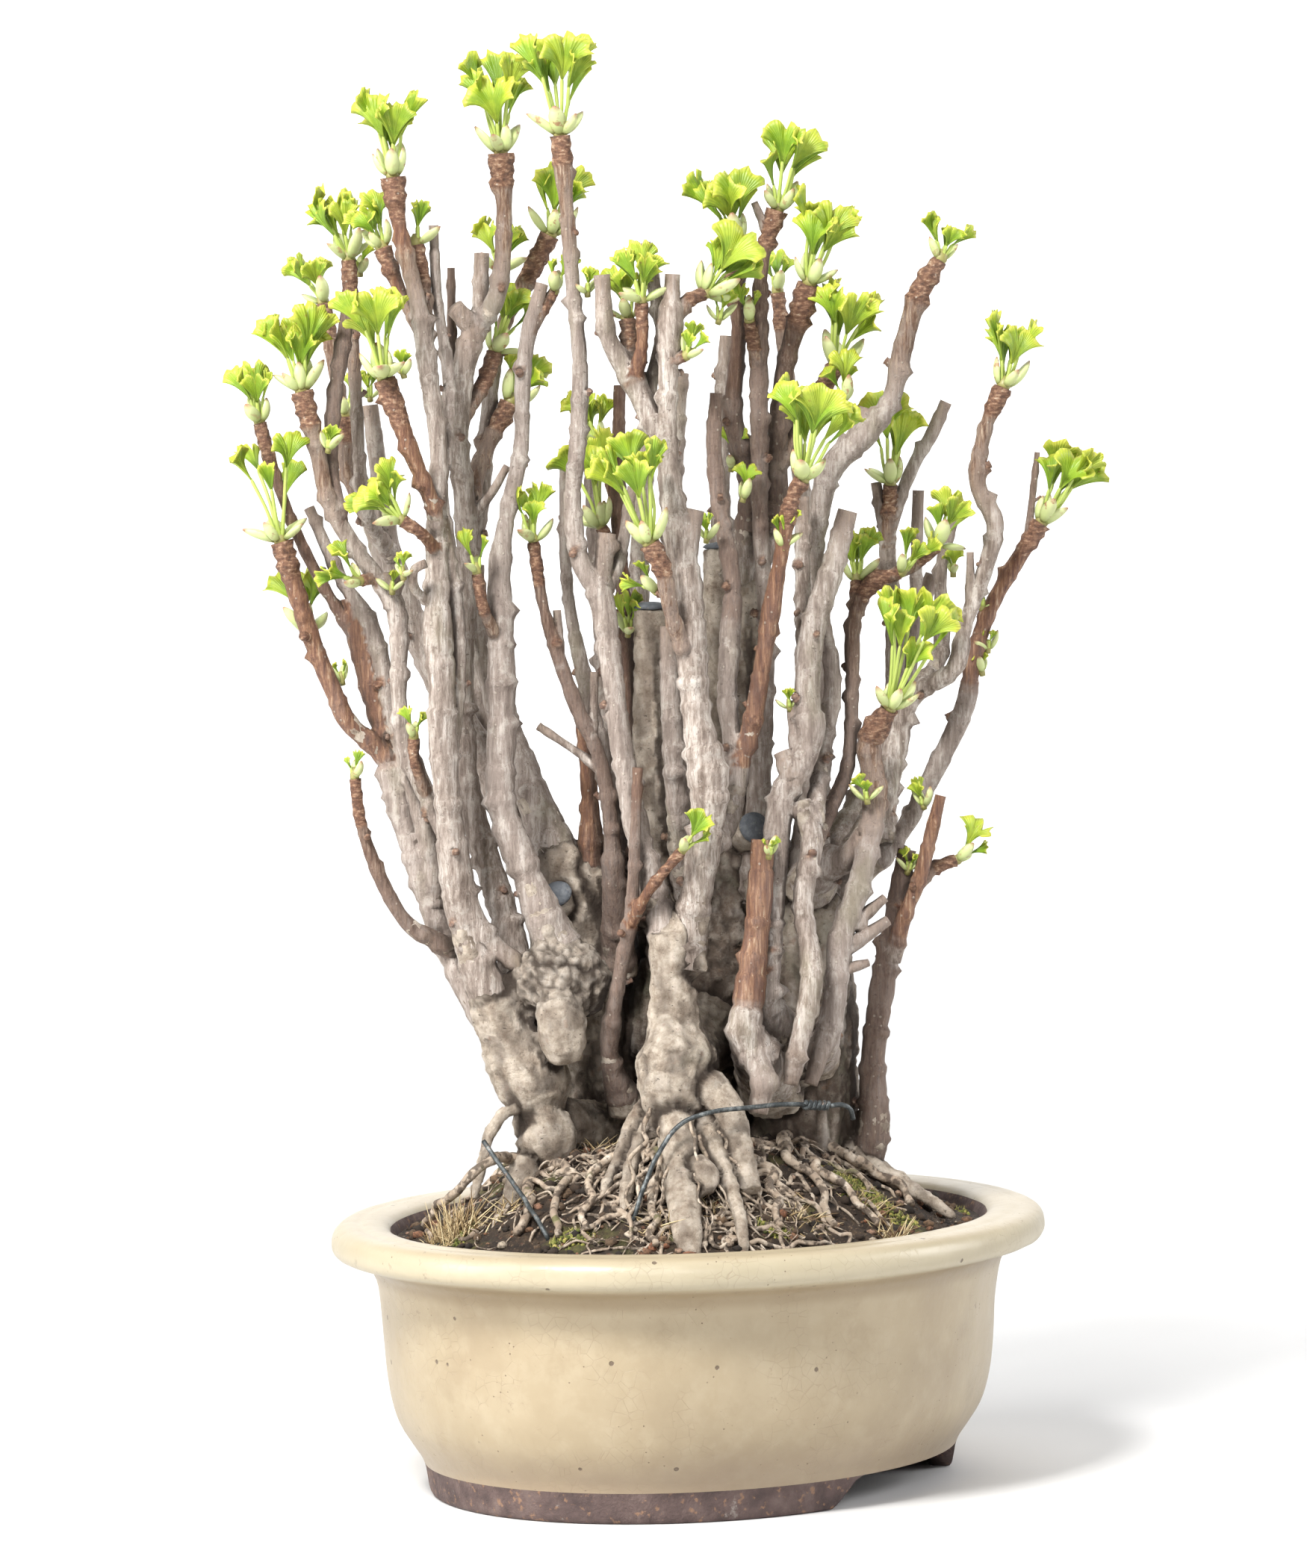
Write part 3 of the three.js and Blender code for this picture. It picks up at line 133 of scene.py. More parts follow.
STEMS = {
    # left side
    "left_leader": [[-70, 172, -32, 7], [-77, 192, -33, 6], [-82, 219, -36, 5.5], [-85, 250, -38, 4.8],
        [-86, 267, -38, 5], [-86, 285, -38, 4.6], [-87, 300, -38, 5], [-87, 316, -38, 4.6],
        [-87, 340, -36, 3.6], [-86, 365, -36, 3.2], [-89, 390, -35, 3.4], [-93, 418, -33, 3.1],
        [-99, 445, -32, 2.7], [-101, 462, -32, 3.8]],
    "left_leader_arm": [[-82, 218, -36, 3.6], [-75, 200, -36, 3.6], [-68, 190, -35, 3.4],
        [-57, 182, -33, 3.2]],
    "left_outer": [[-62, 154, -30, 6], [-70, 164, -27, 6], [-82, 185, -22, 5.4], [-92, 210, -18, 4.8],
        [-100, 236, -14, 4.6], [-103, 248, -13, 5.2], [-107, 269, -11, 4.3], [-114, 296, -10, 4.3],
        [-118, 314, -10, 3.4]],
    "left_outer_twig": [[-117, 302, -10, 3], [-126, 316, -12, 2], [-136, 336, -14, 2],
        [-144, 358, -16, 1.9], [-147, 368, -16, 2.4], [-149, 376, -16, 2.2]],
    "left_copper": [[-104, 256, -12, 4], [-110, 262, -14, 3.6], [-119, 270, -17, 3.4],
        [-124, 281, -18, 3.2], [-131, 298, -20, 3.1], [-138, 320, -22, 3.2], [-142, 334, -22, 3.7]],
    "left_low_twig": [[-83, 188, -24, 3.4], [-90, 193, -28, 3.2], [-96, 196, -30, 3],
        [-101, 201, -32, 2.4], [-109, 216, -34, 2.5], [-115, 234, -36, 1.9], [-117, 250, -36, 1.8]],
    "left_grey_a": [[-81, 216, -35, 4], [-84, 227, -30, 3.4], [-90, 240, -27, 3.2], [-99, 263, -24, 3.2],
        [-101, 278, -24, 3], [-101, 304, -24, 3.2], [-103, 313, -24, 3.6], [-115, 330, -24, 2.8],
        [-125, 348, -24, 3], [-129, 367, -24, 2.9], [-134, 387, -24, 3.5]],
    "left_grey_a_stub": [[-103, 310, -24, 3.4], [-104, 323, -24, 3.2]],
    "left_grey_b": [[-89, 204, -20, 4.2], [-91, 228, -18, 4], [-96, 246, -16, 3.8], [-105, 280, -13, 3.6],
        [-111, 304, -12, 3.4], [-121, 321, -11, 2.4], [-132, 346, -8, 2]],
    "left_high_stub": [[-121, 341, -24, 2.8], [-124, 360, -18, 2.7], [-123, 380, -17, 2.7],
        [-117, 417, -16, 2.7]],
    "left_rear": [[-40, 198, 10, 8], [-55, 225, 22, 6.5], [-66, 245, 28, 6], [-86, 285, 34, 5],
        [-102, 325, 30, 4], [-108, 365, 26, 3], [-110, 382, 26, 2.8]],
    "left_rear_twig": [[-101, 322, 30, 3.4], [-112, 345, 32, 3.2], [-118, 360, 32, 3.6],
        [-119, 378, 32, 3.4]],
    "left_rear_high": [[-103, 328, 28, 3], [-112, 346, 10, 2.6], [-115, 385, 6, 2.2], [-117, 433, 6, 2.6]],
    "left_spur_a": [[-91, 406, -34, 2.6], [-98, 420, -26, 2.3], [-105, 437, -24, 2.8]],
    "left_spur_b": [[-90, 402, -34, 2.6], [-90, 418, -22, 2.3], [-93, 438, -20, 2.6]],
    "left_dead_stick": [[-84, 360, -34, 2.4], [-82, 388, -22, 2.3], [-86, 420, -18, 1.8],
        [-87, 445, -18, 1.7]],
    "left_fan_spur": [[-87, 330, -37, 2.2], [-93, 337, -47, 2], [-99, 341, -48, 2.2]],
    "left_brown": [[-87, 334, -36, 3], [-88, 345, -42, 2.8], [-96, 366, -47, 2.9], [-105, 391, -48, 3.6]],
    "left_hook": [[-89, 312, -38, 2], [-95, 317, -45, 1.7], [-95, 324, -50, 1.7], [-91, 326, -51, 1.6]],
    "left_second": [[-84, 256, -37, 3], [-81, 275, -33, 2.8], [-80, 305, -32, 2.6], [-83, 326, -34, 2.8],
        [-86, 342, -36, 3]],
    "left_thin": [[-91, 242, -27, 2.2], [-96, 257, -32, 1.8], [-96, 264, -33, 1.9]],
    "left_arm_spur": [[-108, 321, -24, 2], [-114, 320, -30, 2]],
    "left_side_spur": [[-130, 297, -20, 2.4], [-133, 303, -10, 2]],
    "left_mid": [[-56, 150, -20, 8], [-62, 190, -8, 6], [-66, 206, -6, 5], [-77, 245, 0, 4.5],
        [-79, 285, 3, 4.2], [-76, 325, 0, 4], [-78, 357, -5, 3.9], [-80, 367, -6, 4.6],
        [-77, 395, -6, 4.2], [-72, 411, -6, 4.4]],
    "left_mid_knob": [[-73, 408, -6, 4], [-80, 416, -10, 3.2]],
    "left_mid_stub": [[-71, 408, -6, 3.4], [-70, 435, -4, 2.6]],
    "left_mid_tall": [[-72, 409, -6, 3.8], [-65, 420, -11, 3.2], [-62, 447, -12, 3], [-63, 470, -12, 3.9]],
    "left_mid_twig": [[-80, 382, -4, 2.2], [-81, 405, 4, 1.6], [-81, 430, 4, 1.4]],
    "left_mid_spur": [[-72, 407, -4, 3], [-66, 418, 6, 2.4], [-64, 428, 10, 2.2]],
    "left_mid_wrinkled": [[-78, 376, -6, 3], [-69, 391, 3, 2.6], [-66, 400, 5, 2.8]],
    "left_mid_dark": [[-75, 341, 0, 3], [-72, 360, 8, 2.8], [-61, 382, 12, 3.2]],
    "left_mid_broken": [[-75, 342, -1, 2.4], [-68, 350, -4, 1.6], [-62, 360, -5, 1.4]],
    "left_mid_rear": [[-78, 312, 3, 3.4], [-72, 345, 12, 3.2], [-64, 405, 18, 2.6], [-53, 428, 17, 3.2],
        [-46, 441, 16, 3.4]],
    "left_inner": [[-44, 184, -30, 9], [-48, 194, -30, 7.5], [-57, 217, -30, 5.6], [-65, 240, -30, 5.3],
        [-65, 269, -28, 5.2], [-65, 300, -27, 4.9], [-65, 325, -25, 3.8], [-62, 343, -24, 3.1],
        [-57, 366, -22, 2.8], [-56, 392, -22, 2.8], [-54, 406, -22, 2.8], [-49, 424, -20, 2.3]],
    "left_inner_spur": [[-52, 409, -22, 2.2], [-45, 421, -18, 2]],
    "left_inner_bud": [[-66, 299, -28, 2.4], [-71, 310, -37, 1.9], [-73, 322, -38, 1.8]],
    "left_back": [[-45, 222, 9, 8], [-52, 238, 12, 6.5], [-64, 270, 16, 5.2], [-73, 305, 20, 4.2],
        [-74, 325, 22, 3.6]],
    # middle
    "mid_stem": [[-6, 184, -47, 7], [-9, 200, -46, 5.4], [-16, 225, -42, 4.5], [-22, 255, -38, 4],
        [-26, 288, -34, 3.7], [-30, 315, -31, 4.4], [-36, 325, -32, 3.4], [-39, 345, -33, 3.2],
        [-37, 368, -33, 3], [-36, 395, -33, 2.7], [-38, 420, -33, 2.6], [-40, 450, -33, 2.6],
        [-42, 476, -33, 3.4]],
    "mid_stem_stub": [[-30, 313, -31, 3.8], [-27, 336, -30, 3.1]],
    "mid_stem_arm": [[-30, 314, -31, 3.4], [-24, 323, -27, 2.4], [-18, 352, -20, 1.8]],
    "mid_main": [[-2, 182, -48, 8], [0, 192, -48, 6.8], [4, 213, -50, 5.6], [8, 238, -51, 6.2],
        [8, 249, -51, 7.6], [4, 272, -50, 5], [2, 302, -48, 5.5], [1, 318, -47, 5.1], [-2, 336, -46, 5.6],
        [-5, 357, -44, 4], [-5, 385, -42, 3.3], [-4, 408, -42, 4.6], [-3, 427, -42, 2.7]],
    "mid_main_stub": [[0, 326, -46, 4.4], [4, 344, -46, 3.4]],
    "mid_main_arm": [[-4, 410, -42, 3.2], [3, 418, -38, 2.4], [8, 420, -36, 2.4]],
    "mid_main_spur": [[-5, 396, -42, 2.6], [1, 398, -45, 2]],
    "mid_fork": [[-4, 360, -43, 4], [-10, 374, -40, 4], [-19, 393, -36, 4.4], [-26, 405, -38, 3.1],
        [-28, 427, -38, 3]],
    "mid_fork_back": [[-17, 389, -37, 3.8], [-18, 402, -32, 3.2], [-19, 411, -30, 3.2]],
    "mid_fork_copper": [[-17, 390, -37, 3], [-14, 402, -42, 2.1], [-14, 417, -44, 2.1]],
    "mid_behind_stub": [[-5, 392, -41, 2.8], [-8, 415, -30, 2.4], [-13, 438, -28, 2.4]],
    "mid_thin": [[-6, 366, -42, 2.6], [-11, 380, -34, 2.2], [-8, 402, -34, 2.1], [-5, 411, -41, 2.2]],
    "mid_leaf_spur": [[1, 292, -49, 3.2], [-4, 305, -56, 2.7], [-8, 324, -61, 2.9], [-12, 332, -62, 3.2]],
    "mid_left_spur": [[2, 312, -47, 3], [-9, 315, -40, 1.8]],
    "front_thin": [[-22, 132, -20, 6], [-28, 152, -33, 3.4], [-24, 180, -42, 2.4], [-20, 200, -48, 2.6],
        [-19, 215, -50, 2.1], [-17, 253, -50, 1.7]],
    "front_copper_twig": [[-20, 198, -48, 2.6], [-13, 210, -57, 1.8], [-2, 223, -61, 1.7]],
    "thin_dark": [[-24, 180, 0, 6], [-26, 212, -14, 4], [-27, 236, -17, 2.6], [-31, 258, -19, 2.6],
        [-38, 274, -21, 2.8], [-45, 294, -23, 2.5], [-50, 312, -24, 1.9], [-53, 333, -24, 2]],
    "thin_dark_bud": [[-44, 290, -23, 2], [-45, 309, -22, 1.4]],
    "thin_dark_fork": [[-33, 264, -20, 2], [-32, 287, -18, 1.5]],
    "dead_stick": [[-30, 252, -18, 2], [-36, 257, -16, 1.5], [-52, 268, -13, 1.5]],
    "pale_thin": [[-22, 195, 2, 6], [-27, 245, -2, 3.8], [-34, 278, 2, 3], [-41, 315, 4, 2.1],
        [-42, 366, 4, 1.8]],
    "brown_stub": [[-33, 200, 6, 6], [-34, 228, 6, 4.4], [-34, 240, 6, 2.9], [-36, 268, 6, 2.7]],
    "copper_back": [[-14, 200, 0, 6], [-18, 250, -8, 3.2], [-20, 295, -5, 2.7], [-23, 335, -3, 2.6],
        [-22, 388, 2, 2.2]],
    "copper_back_a": [[-21, 320, -4, 2.4], [-26, 332, -8, 2], [-29, 338, -9, 2]],
    "copper_back_b": [[-23, 345, -2, 2.4], [-27, 360, 2, 2], [-30, 368, 4, 2]],
    "mid_rear_stub": [[0, 205, -6, 6], [-3, 235, -25, 3.9], [-5, 272, -28, 3.6], [-6, 303, -28, 2.8]],
    "mid_twin": [[8, 226, -48, 5.6], [14, 235, -38, 5], [18, 252, -34, 4.4], [15, 275, -33, 3.3],
        [16, 299, -31, 4], [17, 318, -29, 3], [13, 343, -27, 2.8], [11, 366, -26, 2.8],
        [12, 385, -26, 2.2]],
    "mid_copper": [[17, 250, -34, 4], [23, 266, -36, 3.4], [28, 292, -40, 3.1], [30, 304, -41, 3.4],
        [34, 326, -44, 2.6], [39, 349, -47, 2.6], [42, 354, -48, 3]],
    # right side
    "right_tall": [[24, 205, 6, 8], [26, 250, 4, 4], [29, 300, 0, 3], [27, 340, -4, 2.8],
        [27, 358, -6, 3], [27, 389, -9, 3.4], [29, 433, -12, 2.5], [34, 449, -12, 3.4]],
    "right_tall_dead": [[31, 440, -12, 2], [26, 452, -12, 1.3]],
    "right_tall_spur": [[27, 392, -9, 2.6], [24, 410, -16, 2]],
    "right_brown": [[18, 318, 16, 6], [24, 350, 8, 4.2], [22, 363, 2, 4.4], [18, 374, -2, 3.8],
        [20, 405, -6, 2.5], [19, 437, -10, 2.8]],
    "right_dark": [[28, 325, -2, 3], [33, 345, 8, 4], [33, 362, 6, 3.8], [36, 392, -2, 3.2],
        [45, 423, -10, 3.8]],
    "right_dark_arm": [[33, 358, 6, 3.6], [40, 372, 8, 3], [47, 382, 4, 2.8], [54, 394, -2, 2.8]],
    "sawn_brown": [[30, 140, -14, 11], [23, 152, -50, 8], [20, 160, -54, 7], [21, 168, -53, 5.4],
        [25, 200, -50, 4.5], [27, 227, -48, 4.2]],
    "brown_leg": [[22, 152, -53, 6], [26, 142, -59, 4], [24, 130, -60, 3.4]],
    "right_main": [[32, 150, -16, 14], [27, 172, -42, 5.6], [29, 192, -43, 4.5], [34, 240, -38, 4.8],
        [43, 260, -36, 5.2], [44, 266, -36, 5.6], [43, 276, -35, 4.5], [45, 300, -33, 4.4],
        [53, 325, -31, 4.2], [58, 343, -30, 3.4]],
    "right_main_knot": [[38, 248, -38, 4.6], [34, 258, -36, 3.2]],
    "right_main_stub": [[40, 254, -36, 3.4], [38, 276, -32, 2.3]],
    "right_aerial": [[40, 240, -38, 4], [44, 228, -41, 4], [41, 205, -45, 3.6], [44, 178, -50, 4],
        [38, 150, -52, 3.5], [36, 140, -52, 2.6]],
    "right_outer": [[44, 150, -12, 9], [48, 154, -32, 5], [52, 172, -36, 4.2], [54, 191, -32, 4.4],
        [61, 211, -28, 3.9], [67, 243, -22, 4.2], [65, 261, -20, 4.6], [72, 273, -26, 3.2]],
    "right_outer_leg": [[52, 170, -34, 4.4], [46, 150, -40, 3.2], [43, 140, -42, 2.4]],
    "right_arm": [[42, 208, 2, 9], [50, 218, -12, 6.5], [57, 220, -18, 5.4], [63, 228, -24, 4]],
    "right_zigzag": [[58, 218, -14, 6], [67, 236, -4, 5.5], [73, 258, 2, 5], [80, 277, 0, 3.5],
        [95, 287, -6, 3.4], [99, 302, -7, 2.8], [107, 324, -5, 2.9], [110, 338, -5, 3.3],
        [104, 352, -5, 3], [107, 372, -5, 2.4], [113, 386, -5, 3.2]],
    "right_zigzag_stub": [[101, 310, -6, 2], [101, 328, -6, 1.3]],
    "far_right": [[50, 208, 8, 8], [66, 219, 8, 4.8], [77, 231, 11, 3.2], [88, 251, 12, 3.4],
        [99, 274, 12, 3.6], [102, 290, 12, 3], [108, 308, 12, 2.8], [122, 332, 12, 2.9],
        [126, 338, 12, 3.2]],
    "far_right_stick": [[121, 329, 12, 1.6], [125, 363, 12, 1]],
    "right_shoot": [[60, 104, 0, 7], [65, 124, -4, 6], [65, 148, -4, 4.4], [69, 176, -4, 4.3],
        [74, 202, -4, 3.6], [78, 223, -3, 3.3]],
    "right_shoot_fork": [[72, 184, -5, 3.4], [77, 200, -9, 2.5], [82, 212, -10, 2.6], [90, 242, -10, 2.2]],
    "right_shoot_spur": [[81, 210, -9, 2.6], [87, 216, -4, 2.2], [95, 219, -2, 2]],
    "right_thin": [[43, 222, -40, 3.4], [50, 236, -24, 3], [57, 252, -17, 2.5], [59, 280, -15, 2.5],
        [60, 305, -13, 2.8], [66, 317, -13, 2.8], [76, 321, -15, 2.2]],
    "right_thin_spur": [[61, 306, -13, 2.6], [61, 318, -9, 2.3]],
    "right_thin_arm": [[73, 320, -14, 2.4], [80, 323, -12, 2.1], [89, 330, -10, 2.1]],
    "crooked": [[44, 205, 8, 10], [44, 240, 8, 5.4], [46, 290, 5, 4], [46, 325, -2, 3.2],
        [52, 357, -6, 4.4], [63, 369, -8, 5], [73, 381, -8, 3.5], [78, 401, -8, 3.4], [84, 420, -8, 3.4],
        [91, 431, -8, 2.6]],
    "crooked_stub": [[61, 366, -7, 4.2], [65, 379, -6, 3.6]],
    "right_pale_a": [[43, 286, -34, 4], [42, 305, -22, 2.8], [42, 348, -16, 2.6]],
    "right_pale_b": [[45, 232, -40, 3.4], [48, 255, -24, 3], [52, 282, -18, 3], [48, 310, -16, 2.5]],
    "right_tall_cut": [[68, 226, -6, 5], [73, 262, 10, 3.6], [74, 305, 16, 3.4], [72, 332, 16, 2.8],
        [82, 360, 16, 2.2], [87, 368, 16, 2.6], [93, 381, 16, 2.2]],
    "right_tall_cut_spur": [[72, 330, 16, 2.6], [73, 352, 13, 2.4]],
    "right_tall_cut_twig": [[73, 322, 16, 2.8], [68, 353, 17, 1.9]],
    "right_rear_a": [[74, 262, 8, 4], [80, 290, 24, 2.4], [83, 350, 26, 2.1]],
    "right_rear_b": [[82, 279, -1, 3.2], [90, 292, 12, 3], [91, 324, 14, 2.2], [96, 342, 14, 2]],
    "right_ridged_a": [[58, 196, -30, 3], [70, 206, -27, 1.6]],
    "right_ridged_b": [[56, 188, -32, 3], [71, 198, -28, 2]],
    "right_ridged_c": [[53, 180, -34, 3], [64, 183, -31, 1.6]],
    # behind
    "rear_a": [[14, 215, 24, 10], [22, 260, 40, 5.5], [14, 320, 54, 3.8], [14, 380, 60, 2.8],
        [16, 405, 62, 2.6]],
    "rear_b": [[0, 205, 26, 10], [-10, 255, 42, 5], [-16, 315, 56, 3.6], [-12, 372, 62, 2.8]],
    "rear_c": [[-40, 205, 16, 8], [-62, 245, 40, 5], [-78, 300, 54, 3.8], [-86, 360, 60, 2.8],
        [-84, 385, 62, 2.5]],
    "rear_d": [[-56, 238, 34, 5], [-80, 270, 38, 4.4], [-102, 315, 42, 3.4], [-118, 372, 44, 2.6],
        [-126, 418, 44, 2.4]],
    "rear_e": [[40, 200, 14, 10], [46, 245, 38, 5], [48, 305, 52, 3.6], [40, 365, 58, 2.8],
        [34, 420, 60, 2.4]],
    "rear_f": [[44, 208, 14, 8], [66, 250, 34, 4.6], [82, 305, 46, 3.4], [88, 320, 48, 2.8]],
    "rear_g": [[8, 215, 30, 9], [2, 270, 52, 4.6], [-4, 335, 68, 3.4], [0, 392, 74, 2.6]],
    "rear_h": [[-14, 195, 32, 9], [-24, 250, 50, 4.6], [-30, 315, 70, 3.4], [-33, 372, 76, 2.6]],
}

THICK_ROOTS = {
    "front_root": [[-6, 136, -58, 10], [-4, 121, -69, 7.8], [-3, 110, -77, 6.8], [-2, 97, -89, 6],
        [-1, 88, -98, 5.4], [0, 78, -108, 4]],
    "front_root_bulb": [[-2, 112, -74, 6], [5, 108, -82, 5.4], [5, 101, -84, 4]],
    "front_leg_right": [[2, 142, -58, 9], [12, 132, -63, 7], [17, 118, -68, 5.4], [22, 102, -78, 4]],
    "front_leg_small": [[6, 124, -66, 5], [13, 108, -78, 3], [18, 90, -95, 2.6], [19, 80, -102, 2]],
    "front_leg_left": [[-10, 138, -56, 6], [-19, 128, -58, 3.4], [-25, 115, -66, 2.6],
        [-30, 104, -74, 2.2], [-32, 92, -80, 2]],
    "front_leg_far": [[-8, 132, -58, 6], [-18, 120, -64, 3], [-22, 105, -77, 2.8], [-24, 92, -86, 2]],
    "left_root_arc": [[-56, 132, -40, 5], [-64, 132, -44, 2.6], [-70, 125, -46, 2.4],
        [-74, 112, -50, 2.2], [-77, 100, -52, 2]],
    "left_root": [[-56, 114, -38, 7], [-62, 104, -52, 4], [-67, 94, -60, 2.6], [-70, 86, -68, 2]],
    "right_root": [[58, 112, -4, 8], [72, 106, -8, 4], [84, 99, -12, 2.6], [94, 92, -16, 2]],
}

THIN_ROOTS = [
    [[-56, 114, -34], [-72, 114, 2.2], [-84, 103, 1.9], [-94, 91, 1.5]],
    [[-56, 112, -36], [-58, 100, 2.3], [-62, 88, 1.8]],
    [[-54, 114, -36], [-44, 110, 2], [-48, 98, 1.8], [-47, 87, 1.5]],
    [[-4, 118, -70], [-32, 112, 2], [-36, 100, 1.8], [-37, 88, 1.5]],
    [[-3, 112, -75], [-13, 104, 2], [-14, 92, 1.8], [-11, 83, 1.5]],
    [[2, 120, -68], [25, 112, 2.2], [31, 102, 1.9], [32, 90, 1.6]],
    [[36, 122, -8], [33, 116, 2.4], [43, 108, 2.1], [49, 98, 1.9], [52, 90, 1.6]],
    [[42, 120, -4], [58, 113, 2.4], [70, 106, 2.1], [78, 98, 1.7]],
    [[40, 118, -8], [48, 108, 2], [60, 97, 1.8], [66, 90, 1.5]],
]

WIRES = {
    "tie_wire_left": [[-73, 121, -58], [-69, 115, -62], [-60, 102, -73], [-55, 94, -84], [-51, 87, -90],
        [-49, 82, -88]],
    "tie_wire_front": [[-23, 83, -84], [-20, 93, -92], [-16, 105, -88], [-12, 114, -86], [-8, 121, -84],
        [-2, 127, -82], [8, 130.5, -80], [22, 132, -74], [34, 133, -68], [46, 132.5, -62]],
}

BUNCHES = [
    ["left_leader", 31, 16, 4, 0],
    ["left_mid_tall", 36, 19, 4, 0],
    ["mid_stem", 36, 22, 4, 0],
    ["left_rear_high", 27, 18, 3, -6],
    ["left_spur_a", 19, 12, 3, -4],
    ["rear_d", 19, 17, 3, -6],
    ["left_grey_a", 30, 24, 4, 0],
    ["left_brown", 33, 18, 3, 0],
    ["left_spur_b", 15, 10, 2, 0],
    ["left_mid_spur", 19, 20, 3, 0],
    ["left_copper", 38, 25, 3, 0],
    ["left_outer_twig", 21, 13, 3, 0],
    ["left_arm_spur", 17, 17, 3, -10],
    ["left_fan_spur", 22, 26, 3, -8],
    ["left_rear_twig", 14, 8, 2, 0],
    ["left_side_spur", 24, 9, 2, 0],
    ["left_thin", 11, 7, 2, 0],
    ["left_low_twig", 9, 6, 2, 0],
    ["left_inner_spur", 14, 6, 2, 0],
    ["left_mid_wrinkled", 24, 16, 3, 6],
    ["left_mid_dark", 21, 18, 3, 8],
    ["left_inner_bud", 15, 7, 2, 0],
    ["thin_dark", 20, 16, 3, 0],
    ["copper_back_a", 34, 14, 3, 0],
    ["copper_back_b", 19, 19, 3, 0],
    ["mid_leaf_spur", 39, 20, 4, 0],
    ["mid_left_spur", 13, 14, 2, -8],
    ["mid_fork_back", 18, 10, 3, 0],
    ["mid_fork_copper", 21, 18, 3, 0],
    ["mid_main_arm", 26, 26, 4, 4],
    ["mid_main_spur", 12, 16, 3, 0],
    ["right_tall", 31, 19, 4, 0],
    ["right_brown", 28, 23, 3, -5],
    ["right_dark", 34, 19, 4, 5],
    ["rear_e", 16, 14, 3, 0],
    ["right_tall_spur", 13, 10, 2, 0],
    ["right_dark_arm", 30, 20, 4, 0],
    ["mid_copper", 36, 30, 4, 0],
    ["crooked", 16, 21, 3, 0],
    ["right_tall_cut_spur", 33, 17, 3, 0],
    ["right_thin_spur", 19, 9, 3, 0],
    ["right_thin", 17, 13, 3, 0],
    ["right_thin_arm", 21, 17, 3, 0],
    ["right_outer", 43, 25, 4, 4],
    ["right_zigzag", 26, 13, 3, 0],
    ["far_right", 32, 17, 4, 8],
    ["right_shoot_spur", 16, 8, 3, 5],
    ["left_mid_rear", 26, 20, 3, 0],
    ["front_copper_twig", 16, 12, 2, 8],
]

BURL = {"at": [-45, 178, -31], "half": [18, 14, 15]}

# Coppery young wood: the stem and the height above which it is copper
COPPER = {
    "left_copper": 0, "left_outer": 252, "left_outer_twig": 300, "left_brown": 340, "left_fan_spur": 0,
    "copper_back": 0, "copper_back_a": 0, "copper_back_b": 0, "brown_stub": 0, "mid_copper": 0,
    "mid_fork_copper": 0, "front_copper_twig": 0, "front_thin": 238, "sawn_brown": 168,
    "right_shoot_fork": 186, "far_right": 275, "left_leader": 432, "left_spur_a": 415, "right_brown": 380,
}
DARK = {"right_shoot": 0, "left_outer_twig": 0, "left_mid_twig": 0, "thin_dark": 0, "left_low_twig": 0,
        "far_right_stick": 0, "right_thin": 0, "copper_back": 0, "front_thin": 0, "right_tall": 330,
        "right_dark": 330, "right_brown": 330, "left_high_stub": 0, "mid_twin": 300}

# Small buds and leaves with no tuft of their own: across, height, depth, tall, spread, leaves
SMALL_BUDS = [
    [-125, 366, -28, 9, 8, 4], [21, 347, -14, 12, 6, 2], [95, 320, 12, 9, 7, 3], [-20, 300, -12, 15, 12, 3],
    [-110, 384, 26, 12, 7, 3], [57, 381, -10, 18, 13, 2], [-113, 428, 12, 10, 8, 2], [-99, 321, -49, 8, 6, 2],
    [-121, 284, -14, 7, 6, 2], [-33, 420, -32, 9, 6, 2], [35, 330, -46, 14, 9, 3], [37, 273, -34, 7, 5, 2],
    [105, 308, 11, 7, 5, 2], [107, 293, 12, 7, 5, 2], [105, 285, 11, 6, 5, 2], [78, 215, -8, 8, 4, 2],
    [84, 238, -8, 10, 4, 2], [29, 221, -54, 6, 6, 3], [17, 358, 2, 15, 9, 2], [8, 333, -33, 9, 7, 2],
    [-103, 316, -30, 8, 7, 2], [64, 240, -30, 9, 5, 2], [13, 410, -30, 12, 9, 2], [-98, 392, -46, 9, 5, 2],
]


def rng(seed):
    return random.Random(seed)


def smooth(t):
    t = np.clip(t, 0, 1)
    return t * t * (3 - 2 * t)


def sight(across, height, depth):
    """Row-frame point in mm seen at across, height on the upright plane, set back by depth."""
    k = 1 + depth / EYE_DISTANCE
    x = EYE_ACROSS + (across - EYE_ACROSS) * k
    z = EYE_HEIGHT + (height - EYE_HEIGHT) * k
    return np.array([
        x * math.cos(TURN) - depth * math.sin(TURN) + POT_MIDDLE[0],
        x * math.sin(TURN) + depth * math.cos(TURN) + POT_MIDDLE[1],
        z,
    ])


def from_front(vector):
    """Turns a direction given as the eye sees it (right, away, up) into the row frame."""
    x, y, z = vector
    return np.array([x * math.cos(TURN) - y * math.sin(TURN), x * math.sin(TURN) + y * math.cos(TURN), z])


def unit(v):
    return v / max(np.linalg.norm(v), 1e-9)


